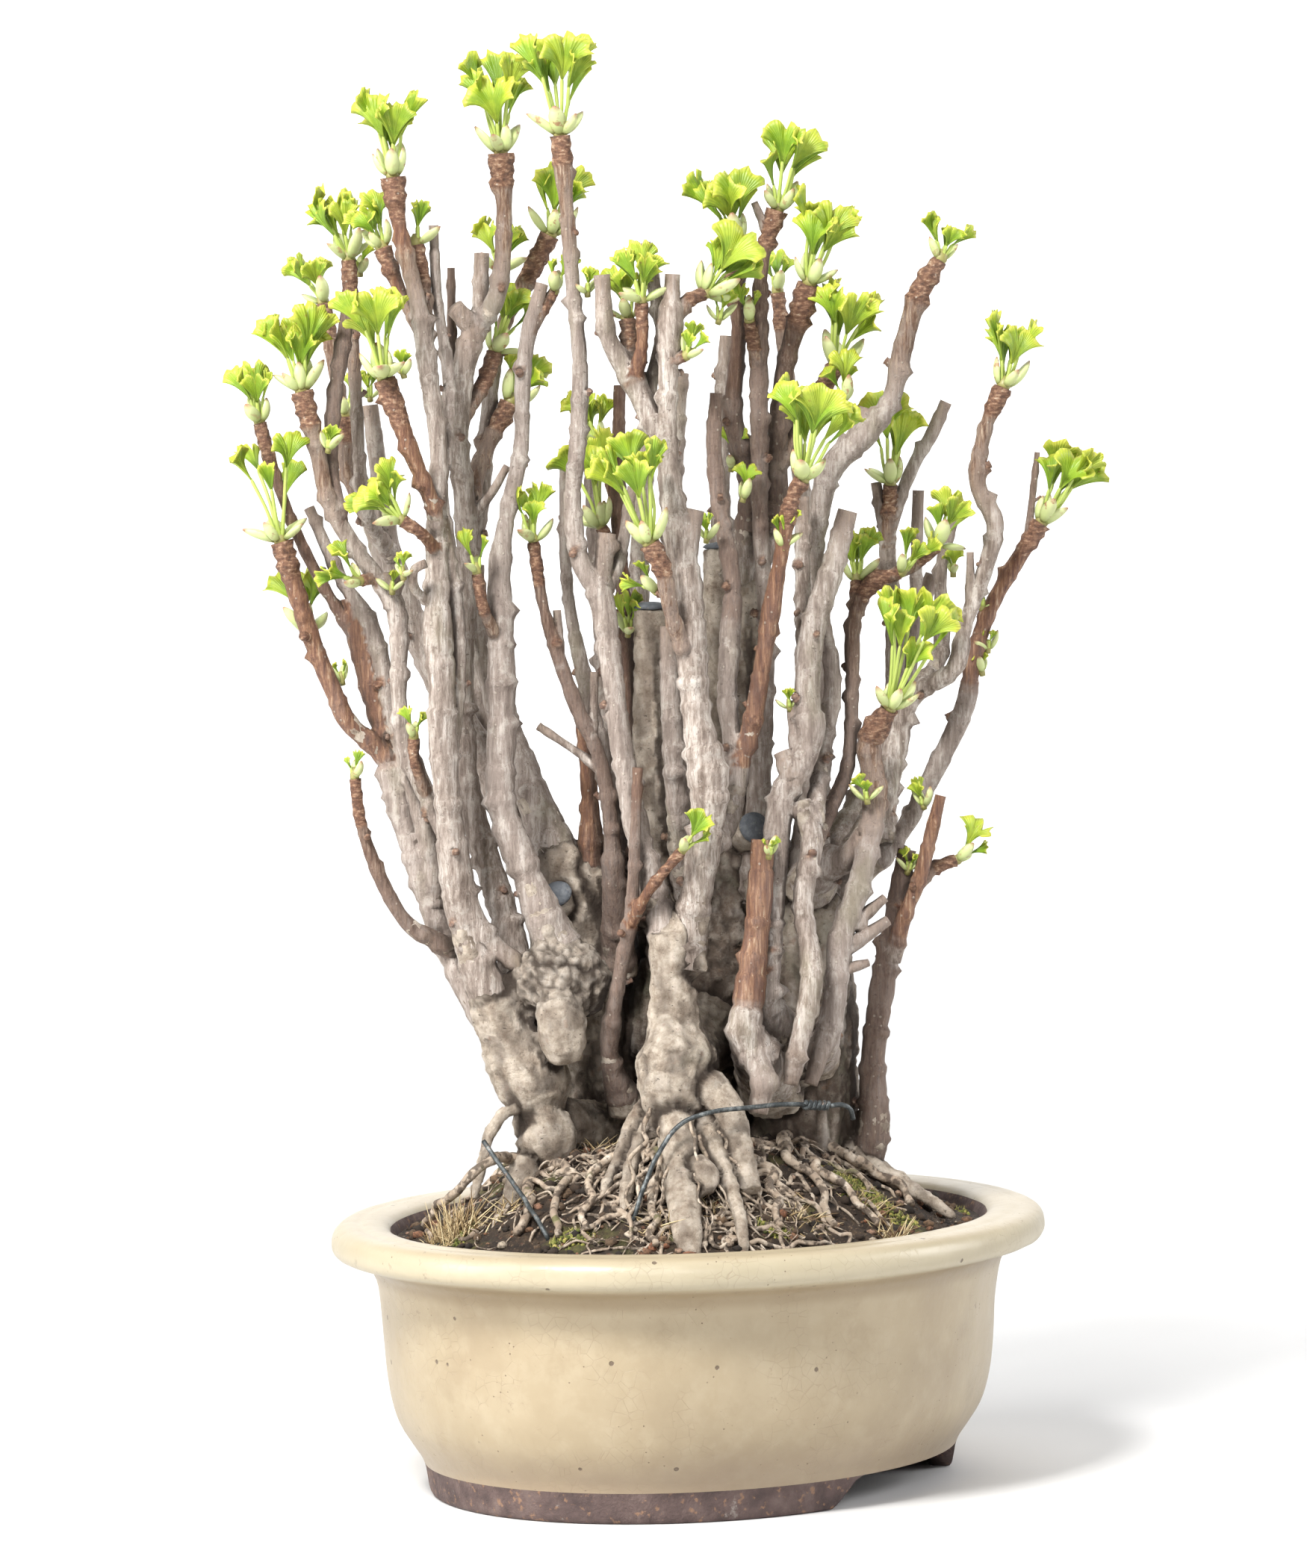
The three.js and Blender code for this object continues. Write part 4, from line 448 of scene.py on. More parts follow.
class Heap:
    """Collects closed shells, in mm, with numbers on each vertex, and makes one object of them."""

    def __init__(self):
        self.verts, self.faces, self.marks, self.count = [], [], {}, 0

    def add(self, verts, faces, **marks):
        verts = np.asarray(verts, float)
        base = self.count
        self.faces.extend([tuple(i + base for i in f) for f in faces])
        for name, values in marks.items():
            stored = self.marks.setdefault(name, [])
            filled = sum(len(a) for a in stored)
            if filled < base:
                stored.append(np.zeros(base - filled))
            stored.append(np.broadcast_to(np.asarray(values, float), (len(verts),)))
        self.verts.append(verts)
        self.count += len(verts)

    def make(self, name, finish):
        mesh = bpy.data.meshes.new(name)
        mesh.from_pydata((np.concatenate(self.verts) * MM).tolist(), [], self.faces)
        for mark, stored in self.marks.items():
            values = np.concatenate(stored)
            values = np.concatenate([values, np.zeros(self.count - len(values))])
            layer = mesh.attributes.new(mark, "FLOAT", "POINT")
            layer.data.foreach_set("value", values.astype(np.float32))
        mesh.shade_smooth()
        piece = bpy.data.objects.new(name, mesh)
        bpy.context.scene.collection.objects.link(piece)
        if finish:
            mesh.materials.append(finish)
        return piece


def spline(points, radii, spacing):
    """Even samples of a centripetal Catmull-Rom curve with its radii: centres and radii."""
    p = np.asarray(points, float)
    if len(p) == 2:
        p = np.array([p[0], (p[0] + p[1]) / 2, p[1]])
        radii = [radii[0], (radii[0] + radii[1]) / 2, radii[1]]
    ends = np.vstack([2 * p[0] - p[1], p, 2 * p[-1] - p[-2]])
    r = np.concatenate([[radii[0]], radii, [radii[-1]]])
    out, widths = [], []
    for i in range(len(p) - 1):
        a, b, c, d = ends[i:i + 4]
        t1 = max(np.linalg.norm(b - a), 1e-6) ** 0.5
        t2 = t1 + max(np.linalg.norm(c - b), 1e-6) ** 0.5
        t3 = t2 + max(np.linalg.norm(d - c), 1e-6) ** 0.5
        n = max(2, int(np.linalg.norm(c - b) / spacing))
        s = np.arange(n) / n
        if i == len(p) - 2:
            s = np.append(s, 1.0)
        t = (t1 + (t2 - t1) * s)[:, None]
        a1 = a * (t1 - t) / t1 + b * t / t1
        a2 = b * (t2 - t) / (t2 - t1) + c * (t - t1) / (t2 - t1)
        a3 = c * (t3 - t) / (t3 - t2) + d * (t - t2) / (t3 - t2)
        b1 = a1 * (t2 - t) / t2 + a2 * t / t2
        b2 = a2 * (t3 - t) / (t3 - t1) + a3 * (t - t1) / (t3 - t1)
        out.append(b1 * (t2 - t) / (t2 - t1) + b2 * (t - t1) / (t2 - t1))
        widths.append(r[i + 1] + (r[i + 2] - r[i + 1]) * smooth(s))
    return np.concatenate(out), np.concatenate(widths)


def frames(centres):
    """Directions along a path and two square to it that don't spin."""
    along = np.gradient(centres, axis=0)
    along /= np.linalg.norm(along, axis=1)[:, None] + 1e-9
    first = np.cross(along[0], [0.3, 0.2, 1.0])
    if np.linalg.norm(first) < 0.1:
        first = np.cross(along[0], [1.0, 0, 0])
    across = [unit(first)]
    for t in along[1:]:
        v = across[-1] - t * np.dot(across[-1], t)
        across.append(unit(v))
    across = np.array(across)
    return along, across, np.cross(along, across)


def ring_faces(rings, around):
    """Faces between rings of points that follow one after another."""
    faces = []
    for i in range(rings - 1):
        a, b = i * around, (i + 1) * around
        for j in range(around):
            k = (j + 1) % around
            faces.append((a + j, a + k, b + k, b + j))
    return faces


def end_faces(rings, around):
    """Fans that close the first and the last ring, each from one more point after all the rings."""
    start, last = rings * around, (rings - 1) * around
    faces = []
    for j in range(around):
        k = (j + 1) % around
        faces += [(start, k, j), (start + 1, last + j, last + k)]
    return faces


def round_ball(subdivisions):
    """Points and faces of a ball of radius 1."""
    ball = bmesh.new()
    bmesh.ops.create_icosphere(ball, subdivisions=subdivisions, radius=1)
    verts = np.array([v.co[:] for v in ball.verts])
    faces = [tuple(v.index for v in f.verts) for f in ball.faces]
    ball.free()
    return verts, faces


def tube_mesh(centres, radius, sides):
    """A closed tube. radius is a number for each ring, or for each ring and side."""
    _, across, other = frames(centres)
    turn = np.arange(sides) * 2 * math.pi / sides
    wide = np.asarray(radius, float)
    if wide.ndim == 1:
        wide = np.repeat(wide[:, None], sides, axis=1)
    ring = across[:, None, :] * np.cos(turn)[None, :, None]
    ring = ring + other[:, None, :] * np.sin(turn)[None, :, None]
    verts = (centres[:, None, :] + ring * wide[:, :, None]).reshape(-1, 3)
    verts = np.vstack([verts, centres[0], centres[-1]])
    return verts, ring_faces(len(centres), sides) + end_faces(len(centres), sides)


def noise_at(points, size, octaves=3, seed=0.0):
    """Smooth noise from -1 to 1 at points in mm, with lumps of about that size."""
    out = np.empty(len(points))
    for i, p in enumerate(points):
        q = Vector((p[0] / size + seed, p[1] / size - seed, p[2] / size + 2 * seed))
        out[i] = noise.fractal(q, 1.0, 2.0, octaves)
    return out


def ridges_at(points, size, seed=0.0):
    """Distance to the nearest cell wall, 0 on it, of cells of about that size."""
    out = np.empty(len(points))
    for i, p in enumerate(points):
        q = Vector((p[0] / size + seed, p[1] / size, p[2] / size))
        near = noise.voronoi(q)[0]
        out[i] = near[1] - near[0]
    return out


def read_points(mesh):
    flat = np.empty(len(mesh.vertices) * 3, np.float32)
    mesh.vertices.foreach_get("co", flat)
    return flat.reshape(-1, 3).astype(float) / MM


def write_points(mesh, points):
    mesh.vertices.foreach_set("co", (points * MM).astype(np.float32).ravel())
    mesh.update()


def read_normals(mesh):
    flat = np.empty(len(mesh.vertices) * 3, np.float32)
    mesh.vertices.foreach_get("normal", flat)
    return flat.reshape(-1, 3).astype(float)


def set_mark(mesh, name, values):
    layer = mesh.attributes.get(name) or mesh.attributes.new(name, "FLOAT", "POINT")
    layer.data.foreach_set("value", np.asarray(values, np.float32))


def apply_modifiers(piece):
    shown = piece.evaluated_get(bpy.context.evaluated_depsgraph_get())
    mesh = bpy.data.meshes.new_from_object(shown)
    piece.modifiers.clear()
    old = piece.data
    piece.data = mesh
    bpy.data.meshes.remove(old)
    return mesh


def drop(pieces):
    for piece in pieces:
        bpy.data.objects.remove(piece, do_unlink=True)


# Shader maths

class Value:
    """A number or colour in a material. Arithmetic on it adds Math nodes."""

    def __init__(self, finish, socket):
        self.finish, self.socket = finish, socket

    def maths(self, operation, a, b=None):
        given = {0: a} if b is None else {0: a, 1: b}
        return self.finish.node("ShaderNodeMath", {"operation": operation}, given)

    def __add__(self, other):
        return self.maths("ADD", self, other)

    __radd__ = __add__

    def __mul__(self, other):
        return self.maths("MULTIPLY", self, other)

    __rmul__ = __mul__

    def __sub__(self, other):
        return self.maths("SUBTRACT", self, other)

    def __rsub__(self, other):
        return self.maths("SUBTRACT", other, self)

    def clamped(self):
        return self.finish.node("ShaderNodeClamp", {}, {0: self})

    def step(self, low, high):
        """0 below low, 1 above high, smooth between."""
        settings = {"interpolation_type": "SMOOTHSTEP"}
        return self.finish.node("ShaderNodeMapRange", settings, {0: self, 1: low, 2: high})

    def sine(self):
        return self.maths("SINE", self)


class Finish:
    """One material, with its Principled shader, built by expressions."""

    def __init__(self, name, roughness=0.6, **fixed):
        self.material = bpy.data.materials.new(name)
        self.material.use_nodes = True
        self.tree = self.material.node_tree
        self.shader = self.tree.nodes["Principled BSDF"]
        self.shader.inputs["Roughness"].default_value = roughness
        for key, value in fixed.items():
            self.shader.inputs[key.replace("_", " ")].default_value = value
        self.place = self.node("ShaderNodeTexCoord", {}, {}, "Object")

    def node(self, kind, settings, inputs, out=0):
        made = self.tree.nodes.new(kind)
        for key, value in settings.items():
            if key == "stops":
                for k, (at, colour) in enumerate(value):
                    stop = made.color_ramp.elements[k] if k < 2 else made.color_ramp.elements.new(at)
                    stop.position, stop.color = at, (*colour, 1)
            else:
                setattr(made, key, value)
        for key, value in inputs.items():
            if isinstance(value, Value):
                self.tree.links.new(value.socket, made.inputs[key])
            elif isinstance(value, tuple) and len(value) == 3 and made.inputs[key].type == "RGBA":
                made.inputs[key].default_value = (*value, 1)
            else:
                made.inputs[key].default_value = value
        return Value(self, made.outputs[out])

    def noise(self, size, detail=4, roughness=0.55, stretch=(1, 1, 1)):
        """Noise with lumps of about size mm, drawn out by stretch."""
        scale = tuple(1 / (size * MM * s) for s in stretch)
        inputs = {"Vector": self.place, "Scale": scale}
        at = self.node("ShaderNodeMapping", {"vector_type": "POINT"}, inputs)
        inputs = {"Vector": at, "Scale": 1.0, "Detail": detail, "Roughness": roughness}
        return self.node("ShaderNodeTexNoise", {}, inputs)

    def cells(self, size, feature="F1"):
        inputs = {"Vector": self.place, "Scale": 1 / (size * MM)}
        return self.node("ShaderNodeTexVoronoi", {"feature": feature}, inputs)

    def height(self):
        return self.node("ShaderNodeSeparateXYZ", {}, {0: self.place}, "Z")

    def mark(self, name):
        return self.node("ShaderNodeAttribute", {"attribute_name": name}, {}, "Fac")

    def ramp(self, value, stops):
        return self.node("ShaderNodeValToRGB", {"stops": stops}, {"Fac": value})

    def mix(self, share, a, b):
        inputs = {"Factor": share, "A": a, "B": b}
        return self.node("ShaderNodeMix", {"data_type": "RGBA"}, inputs, "Result")

    def colour(self, value):
        self.tree.links.new(value.socket, self.shader.inputs["Base Color"])

    def rough(self, value):
        self.tree.links.new(value.socket, self.shader.inputs["Roughness"])

    def bump(self, height, depth_mm, strength=1.0):
        inputs = {"Height": height, "Distance": depth_mm * MM, "Strength": strength}
        made = self.node("ShaderNodeBump", {}, inputs)
        self.tree.links.new(made.socket, self.shader.inputs["Normal"])

# The wood

def wood_paths():
    """All wood limbs as (name, kind, centres, radii), in mm of the row frame."""
    limbs = []
    for kind, table in (("old", OLD_WOOD), ("stem", STEMS), ("root", THICK_ROOTS)):
        for name, points in table.items():
            centres = [sight(*p[:3]) for p in points]
            spacing = STEM_SPACING if kind == "stem" else LIMB_SPACING
            centres, radii = spline(centres, [p[3] for p in points], spacing)
            limbs.append((name, kind, centres, radii))
    return limbs


def lengths(centres):
    return np.concatenate([[0], np.cumsum(np.linalg.norm(np.diff(centres, axis=0), axis=1))])


TUFTED = {b[0] for b in BUNCHES}


def stem_radius(name, centres, radii, dice):
    """Radius by ring and side: knobbly, with old leaf rings, and a scaly spur below a tuft."""
    sides = 14 if radii.max() > 3 else 12
    s = lengths(centres)
    total = s[-1]
    turn = np.arange(sides) * 2 * math.pi / sides
    wide = np.repeat(radii[:, None], sides, axis=1)
    # slow swelling and thinning
    seed = dice.uniform(0, 50)
    for i, at in enumerate(s):
        slow, quick = noise.noise(Vector((at / 11, seed, 0))), noise.noise(Vector((at / 3.4, seed, 9)))
        wide[i] *= 1 + 0.13 * slow + 0.07 * quick
    # joints where short spurs and leaves once stood
    at = dice.uniform(3, 9)
    while at < total - 4:
        lean = dice.uniform(0, 2 * math.pi)
        size = dice.uniform(0.24, 0.92)
        length = dice.uniform(1.0, 2.2)
        ring = np.exp(-((s - at) / length) ** 2)[:, None]
        side = 0.35 + 0.65 * np.clip(np.cos(turn - lean), 0, 1)[None, :] ** 2
        wide += ring * side * size * np.minimum(radii, 4)[:, None] * 0.55
        scar = np.exp(-((s - at - 1.5 * length) / 0.8) ** 2)[:, None]
        wide -= scar * 0.09 * np.minimum(radii, 4)[:, None]
        if dice.random() < 0.45:  # a bud or its scar to one side
            one_side = np.clip(np.cos(turn - lean), 0, 1)[None, :] ** 6
            knob = np.exp(-((s - at) / 1.6) ** 2)[:, None] * one_side
            wide += knob * dice.uniform(0.5, 1.1) * min(1.6, radii.mean() * 0.45)
        at += dice.uniform(5, 19)
    # flutes along the stem
    flute = dice.uniform(0, 6)
    wide *= 1 + 0.035 * np.sin(3 * turn[None, :] + flute + s[:, None] / 22)
    # a spur of stacked rings below the tuft
    spur = np.zeros(len(s))
    if name in TUFTED:
        reach = min(dice.uniform(10, 19), total * 0.6)
        spur = smooth((s - (total - reach)) / 2.0)
        pitch = (total - s) / 1.75 + 0.35 * np.sin(s * 1.1 + seed)
        saw = pitch % 1.0
        band = np.array([noise.noise(Vector((math.floor(p), seed, 3))) for p in pitch])
        wide *= 1 + (spur * (0.20 * (1 - saw) ** 0.7 - 0.03 + 0.14 * band))[:, None]
        wide *= 1 + spur[:, None] * 0.10 * np.sin(5 * turn[None, :] + 2.2 * pitch[:, None])
    return wide, spur, sides


def build_stems(limbs):
    """The stems and their short side spurs as closed tubes, with samples along them of how coppery, dark and
    scaly each is.
    """
    dice = rng(STEM_SEED)
    parts, samples = [], []
    for name, kind, centres, radii in limbs:
        if kind != "stem":
            continue
        wide, spur, sides = stem_radius(name, centres, radii, dice)
        verts, faces = tube_mesh(centres, wide, sides)
        heap = Heap()
        heap.add(verts, faces)
        parts.append(heap.make("stem_" + name, None))
        heights = centres[:, 2]
        copper = smooth((heights - COPPER[name]) / 8) if name in COPPER else np.zeros(len(heights))
        dark = smooth((heights - DARK[name]) / 8) if name in DARK else np.zeros(len(heights))
        tint = dice.random()
        s = lengths(centres)
        young = smooth((s - s[-1] + 62) / 46) if name in TUFTED else smooth((s - s[-1] + 22) / 24) * 0.4
        for i in range(0, len(centres), 2):
            samples.append((centres[i], radii[i], copper[i], dark[i], spur[i], tint, young[i]))
        # short ringed side spurs
        along, across, other = frames(centres)
        at = dice.uniform(14, 30)
        while at < s[-1] - 16:
            i = int(np.searchsorted(s, at))
            turn = dice.uniform(0, 2 * math.pi)
            out = across[i] * math.cos(turn) + other[i] * math.sin(turn)
            way = unit(out * dice.uniform(0.6, 1.1) + along[i] * dice.uniform(0.3, 1.0))
            thick = dice.uniform(0.75, 1.15) * min(1.5, radii[i] * 0.5)
            reach = dice.uniform(0.8, 3.6)
            skin = centres[i] + out * radii[i] * 0.9
            points = [centres[i] + out * radii[i] * 0.5, skin + way * reach * 0.4, skin + way * reach]
            knob, wide_knob = spline(points, [thick * 1.25, thick, thick * 0.85], 0.45)
            ringed = wide_knob * (1 + 0.15 * np.sin(np.arange(len(knob)) * 2.3))
            heap = Heap()
            heap.add(*tube_mesh(knob, ringed, 9))
            parts.append(heap.make("side_spur", None))
            samples.append((knob[-1], thick, copper[i], max(dark[i], 0.3), 0.8, tint, young[i]))
            at += dice.uniform(16, 60)
    return parts, samples


def join_solids(parts, name):
    """Unites overlapping closed shells into one solid."""
    group = bpy.data.collections.new(name + "_parts")
    bpy.context.scene.collection.children.link(group)
    first = parts[0]
    for piece in parts[1:]:
        bpy.context.scene.collection.objects.unlink(piece)
        group.objects.link(piece)
    cut = first.modifiers.new("join", "BOOLEAN")
    cut.operation, cut.operand_type, cut.collection, cut.solver = "UNION", "COLLECTION", group, "MANIFOLD"
    apply_modifiers(first)
    drop(parts[1:])
    bpy.data.collections.remove(group)
    first.name = name
    first.data.name = name
    return first


def nearest_marks(mesh, samples, names):
    """Carries the stems' numbers to the vertices of the joined solid."""
    tree = KDTree(len(samples))
    for i, sample in enumerate(samples):
        tree.insert(Vector(sample[0]), i)
    tree.balance()
    points = read_points(mesh)
    found = np.empty((len(points), len(names)))
    for k, p in enumerate(points):
        best, nearest = 0, 1e9
        for _, i, distance in tree.find_n(Vector(p), 4):
            over = distance - samples[i][1]
            if over < nearest:
                best, nearest = i, over
        found[k] = samples[best][2:2 + len(names)]
    for j, name in enumerate(names):
        set_mark(mesh, name, found[:, j])


def build_old_wood(limbs):
    """The stump, the burl, the thick roots and the flared feet of the stems, grown into each other."""
    heap = Heap()
    for _, kind, centres, radii in limbs:
        if kind == "stem":
            s = lengths(centres)
            keep = s < min(34, s[-1] * 0.4)
            if radii[0] < THICK_STEM or keep.sum() < 4:
                continue
            flare = 1 + 0.30 * np.exp(-s[keep] / 9) - 0.12 * smooth((s[keep] - s[keep][-1] + 9) / 9)
            verts, faces = tube_mesh(centres[keep], radii[keep] * flare * 0.97, 12)
        else:
            verts, faces = tube_mesh(centres, radii, 20)
        heap.add(verts, faces)
    middle = sight(*BURL["at"])
    across, deep, high = BURL["half"]
    points, faces = round_ball(4)
    lump = 1 + 0.10 * noise_at(points * 20, 14, 2, 3.0)
    shaped = np.array([from_front((p[0] * across, p[1] * deep, p[2] * high)) for p in points])
    heap.add(shaped * lump[:, None] + middle, faces)
    piece = heap.make("stump_and_thick_roots", None)
    merge = piece.modifiers.new("grow_together", "REMESH")
    merge.mode, merge.voxel_size, merge.use_smooth_shade = "VOXEL", WOOD_VOXEL * MM, True
    melt = piece.modifiers.new("melt", "SMOOTH")
    melt.factor, melt.iterations = 0.5, 3
    return piece


def carve_bark(piece, centre_lines):
    """Furrows running with the wood, cracks, pits and the eye-like scars, cut into the bark."""
    mesh = apply_modifiers(piece)
    points, normals = read_points(mesh), read_normals(mesh)
    tree = KDTree(len(centre_lines))
    for i, line in enumerate(centre_lines):
        tree.insert(Vector(line[0]), i)
    tree.balance()
    flow = np.empty_like(points)
    size = np.empty(len(points))
    fold = np.empty(len(points))
    for k, p in enumerate(points):
        nearest = {}
        for _, i, distance in tree.find_n(Vector(p), 22):
            over = distance - centre_lines[i][2]
            limb = centre_lines[i][3]
            if limb not in nearest or over < nearest[limb][0]:
                nearest[limb] = (over, i)
        ranked = sorted(nearest.values())
        i = ranked[0][1]
        flow[k], size[k] = centre_lines[i][1], centre_lines[i][2]
        fold[k] = ranked[1][0] - ranked[0][0] if len(ranked) > 1 else 9.0
    # folds where two limbs have grown together
    crease = np.exp(-(fold / 1.1) ** 2)
    # squeeze the noise along the grain, so that it runs in long furrows
    drawn = points - flow * (points * flow).sum(axis=1)[:, None] * 0.72
    burl_middle = sight(*BURL["at"])
    near_burl = np.exp(-(np.linalg.norm(points - burl_middle, axis=1) / 22) ** 4)
    furrow = noise_at(drawn, 7.5, 3, 1.7)
    plates = ridges_at(drawn + 1.6 * noise_at(points, 6, 2, 5)[:, None], 6.5, 2.0)
    crack = np.exp(-(plates / 0.13) ** 2)
    pits = ridges_at(points, 4.4, 8.0)
    pit = np.clip(0.35 - pits, 0, 1) * 2
    strength = np.clip((size - 6) / 14, 0.12, 1.0)
    rings = noise_at(points * [0.35, 0.35, 1.0] + 40, 3.4, 2, 9.0)
    push = strength * (1.9 * furrow - 0.8 * crack) + 0.30 * noise_at(points, 2.6, 3, 4.0)
    push += (1 - strength) * (0.45 * rings - 0.25 * crack) - 1.9 * crease
    knobs = 1.8 * noise_at(points, 5.0, 3, 6.0) + 0.4 * ridges_at(points, 7.0, 3.0) - 1.5 * pit
    push = push * (1 - near_burl) + near_burl * knobs
    push *= smooth((points[:, 2] - 84) / 20) * 0.6 + 0.4
    write_points(mesh, points + normals * push[:, None])
    # dark in the cracks and the burl's pits, and painted shade in the folds between grown-together limbs and
    # on low, pushed-in bark
    dark = 0.5 * crack * strength * (1 - near_burl) + 1.3 * pit * near_burl + 0.9 * crease
    dark += np.clip(-0.3 * push - 0.1, 0, 0.55)
    set_mark(mesh, "crevice", np.clip(dark, 0, 1))
    # painted highlight: the bark made paler where it stands proud
    set_mark(mesh, "proud", np.clip(0.5 * push, 0, 1))
    set_mark(mesh, "grain", furrow)
    set_mark(mesh, "burl", near_burl)
    set_mark(mesh, "thick", size / 30)
    return mesh


def solid_tree(pieces):
    """One search tree over the faces of several pieces."""
    points, faces = [], []
    for piece in pieces:
        first = len(points)
        points += [v.co.copy() for v in piece.data.vertices]
        faces += [[first + i for i in p.vertices] for p in piece.data.polygons]
    return BVHTree.FromPolygons(points, faces)


def mark_shade_from_wood(mesh, tree, reach=30.0):
    """Marks how far the wood close by shuts each point in, from 0 in the open to 1 in a hollow, for painted
    shade.
    """
    axes = ((1, 0, 0), (-1, 0, 0), (0, 1, 0), (0, -1, 0), (0, 0, 1), (0, 0, -1))
    sideways = [0.9 * Vector(axis) for axis in axes]
    points, normals = read_points(mesh), read_normals(mesh)
    shut = np.zeros(len(points))
    for k, (p, n) in enumerate(zip(points, normals)):
        start, out = Vector((p + 0.7 * n) * MM), Vector(n)
        for way in sideways:
            distance = tree.ray_cast(start, (out + way).normalized(), reach * MM)[3]
            if distance is not None:
                shut[k] += 1 - distance / (reach * MM)
    set_mark(mesh, "shelter", shut / len(sideways))


# Ground, roots and pot

def from_middle(p):
    """x and y of a point, from the middle of the pot."""
    return p[0] - POT_MIDDLE[0], p[1] - POT_MIDDLE[1]


def share_out(x, y):
    """0 at the middle of the soil, 1 at its edge."""
    return math.hypot(x / SOIL_LENGTH, y / SOIL_WIDTH)


def mound(x, y):
    """Height of the heap of soil at x, y from the middle of the pot, mm."""
    out = share_out(x, y)
    return SOIL_EDGE + MOUND_RISE * float(smooth((1 - out) / (1 - MOUND_FLAT)))


def ground(x, y):
    """The soil's rough surface, lumps and all."""
    out = share_out(x, y)
    rough = min(1.0, max(0.0, (1 - out) * 9))
    big = noise.fractal(Vector((x / 17, y / 17, 3.1)), 1.0, 2.0, 3)
    small = noise.fractal(Vector((x / 4.2, y / 4.2, 7.7)), 1.0, 2.0, 3)
    return mound(x, y) - 0.5 + rough * (1.9 * big + 1.0 * small)


def on_mound(across, height, lift):
    """The place where the line of sight through across, height meets the front of the soil."""
    for step in range(700):
        depth = -150 + step * 0.4
        p = sight(across, height, depth)
        x, y = from_middle(p)
        if share_out(x, y) < 0.995 and p[2] <= mound(x, y) + lift:
            return p
    return sight(across, height, -60)


def crooked(points, radii, dice, wander):
    """A root's path with small kinks and knuckles added, and its radii."""
    centres, wide = spline(points, radii, 1.5)
    s = lengths(centres)
    a, b = dice.uniform(0, 90), dice.uniform(0, 90)
    for i, at in enumerate(s):
        ease = min(1, at / 8)
        centres[i, 0] += ease * wander * noise.noise(Vector((at / 9, a, 0)))
        centres[i, 1] += ease * wander * noise.noise(Vector((at / 9, b, 4)))
        centres[i, 2] += ease * wander * 0.3 * noise.noise(Vector((at / 6, a, 9)))
        wide[i] *= 1 + 0.28 * noise.noise(Vector((at / 4, b, 2)))
    return centres, wide


# Where the small roots start: across, height, depth
ROOT_FEET = [[-4, 108, -62], [-55, 112, -34], [10, 112, 10], [42, 112, 2], [-32, 112, 14], [-4, 100, -74],
             [-4, 100, -74]]


def add_root(heap, points, radii, wander, sides, dice):
    centres, wide = crooked(points, radii, dice, wander)
    verts, faces = tube_mesh(centres, wide, sides)
    heap.add(verts, faces, tint=dice.random())


def build_fine_roots():
    heap = Heap()
    dice = rng(ROOT_SEED)
    for start, *rest in THIN_ROOTS:
        points = [sight(*start)] + [on_mound(a, h, r + 0.7) for a, h, r in rest]
        add_root(heap, points, [2.3] + [p[2] * 0.8 for p in rest], 4.0, 9, dice)
    feet = [sight(*foot) for foot in ROOT_FEET]
    for _ in range(ROOT_COUNT):
        foot = feet[dice.randrange(len(feet))]
        heading = dice.uniform(0, 2 * math.pi)
        x = foot[0] - POT_MIDDLE[0] + dice.uniform(6, 34) * math.cos(heading)
        y = foot[1] - POT_MIDDLE[1] + dice.uniform(6, 34) * math.sin(heading)
        radius = 0.26 + 1.15 * dice.random() ** 2.2
        heading += dice.uniform(-0.7, 0.7)
        points = []
        for _ in range(dice.randrange(5, 15)):
            if share_out(x, y) > 0.93:
                break
            lift = radius * dice.uniform(-0.5, 1.2) + max(0.0, dice.gauss(0.0, 1.3))
            points.append(np.array([x + POT_MIDDLE[0], y + POT_MIDDLE[1], ground(x, y) + lift]))
            heading += dice.gauss(0, 0.75)
            stride = dice.uniform(3, 7)
            x, y = x + stride * math.cos(heading), y + stride * math.sin(heading)
        if len(points) < 4:
            continue
        points[0][2] -= 2
        points[-1][2] -= 2.5
        radii = [radius * (1 - 0.5 * i / len(points)) for i in range(len(points))]
        add_root(heap, points, radii, 1.7, 6, dice)
    # fine hairs between the legs of the front trunk
    for _ in range(HAIR_COUNT):
        across = dice.uniform(-26, 26)
        top = sight(across * 0.45 - 3, dice.uniform(112, 132), -66 + dice.uniform(-5, 4))
        low = on_mound(across, dice.uniform(84, 100), 0.6)
        middle = (top + low) / 2 + from_front((dice.uniform(-3, 3), dice.uniform(-5, -1), 0))
        radius = dice.uniform(0.3, 0.8)
        add_root(heap, [top, middle, low], [radius * 1.3, radius, radius * 0.8], 5.0, 6, dice)
    return heap


def oval(radius, angle, z):
    """A point of the pot or the soil, whose rings are ovals of one length less another."""
    return (radius * math.cos(angle), (radius - (POT_LENGTH - POT_WIDTH)) * math.sin(angle), z)


def build_soil(finish):
    rings, around = SOIL_RINGS, SOIL_AROUND
    verts = []
    for i in range(rings + 1):
        t = i / rings
        for j in range(around):
            a = 2 * math.pi * j / around
            x, y = SOIL_LENGTH * t * math.cos(a), SOIL_WIDTH * t * math.sin(a)
            if i == 0 and j:
                break
            verts.append((x, y, ground(x, y)))
    faces = [(0, 1 + j, 1 + (j + 1) % around) for j in range(around)]
    for i in range(rings - 1):
        a, b = 1 + i * around, 1 + (i + 1) * around
        for j in range(around):
            k = (j + 1) % around
            faces.append((a + j, b + j, b + k, a + k))
    last = 1 + (rings - 1) * around
    base = len(verts)
    for j in range(around):
        x, y, _ = verts[last + j]
        verts.append((x * 0.93, y * 0.93, SOIL_BASE))
        k = (j + 1) % around
        faces.append((last + j, base + j, base + k, last + k))
    verts.append((0, 0, SOIL_BASE))
    faces.extend([(base + j, len(verts) - 1, base + (j + 1) % around) for j in range(around)])
    verts = np.array(verts) + [POT_MIDDLE[0], POT_MIDDLE[1], 0]
    heap = Heap()
    heap.add(verts, faces)
    return heap.make("soil_mound", finish)


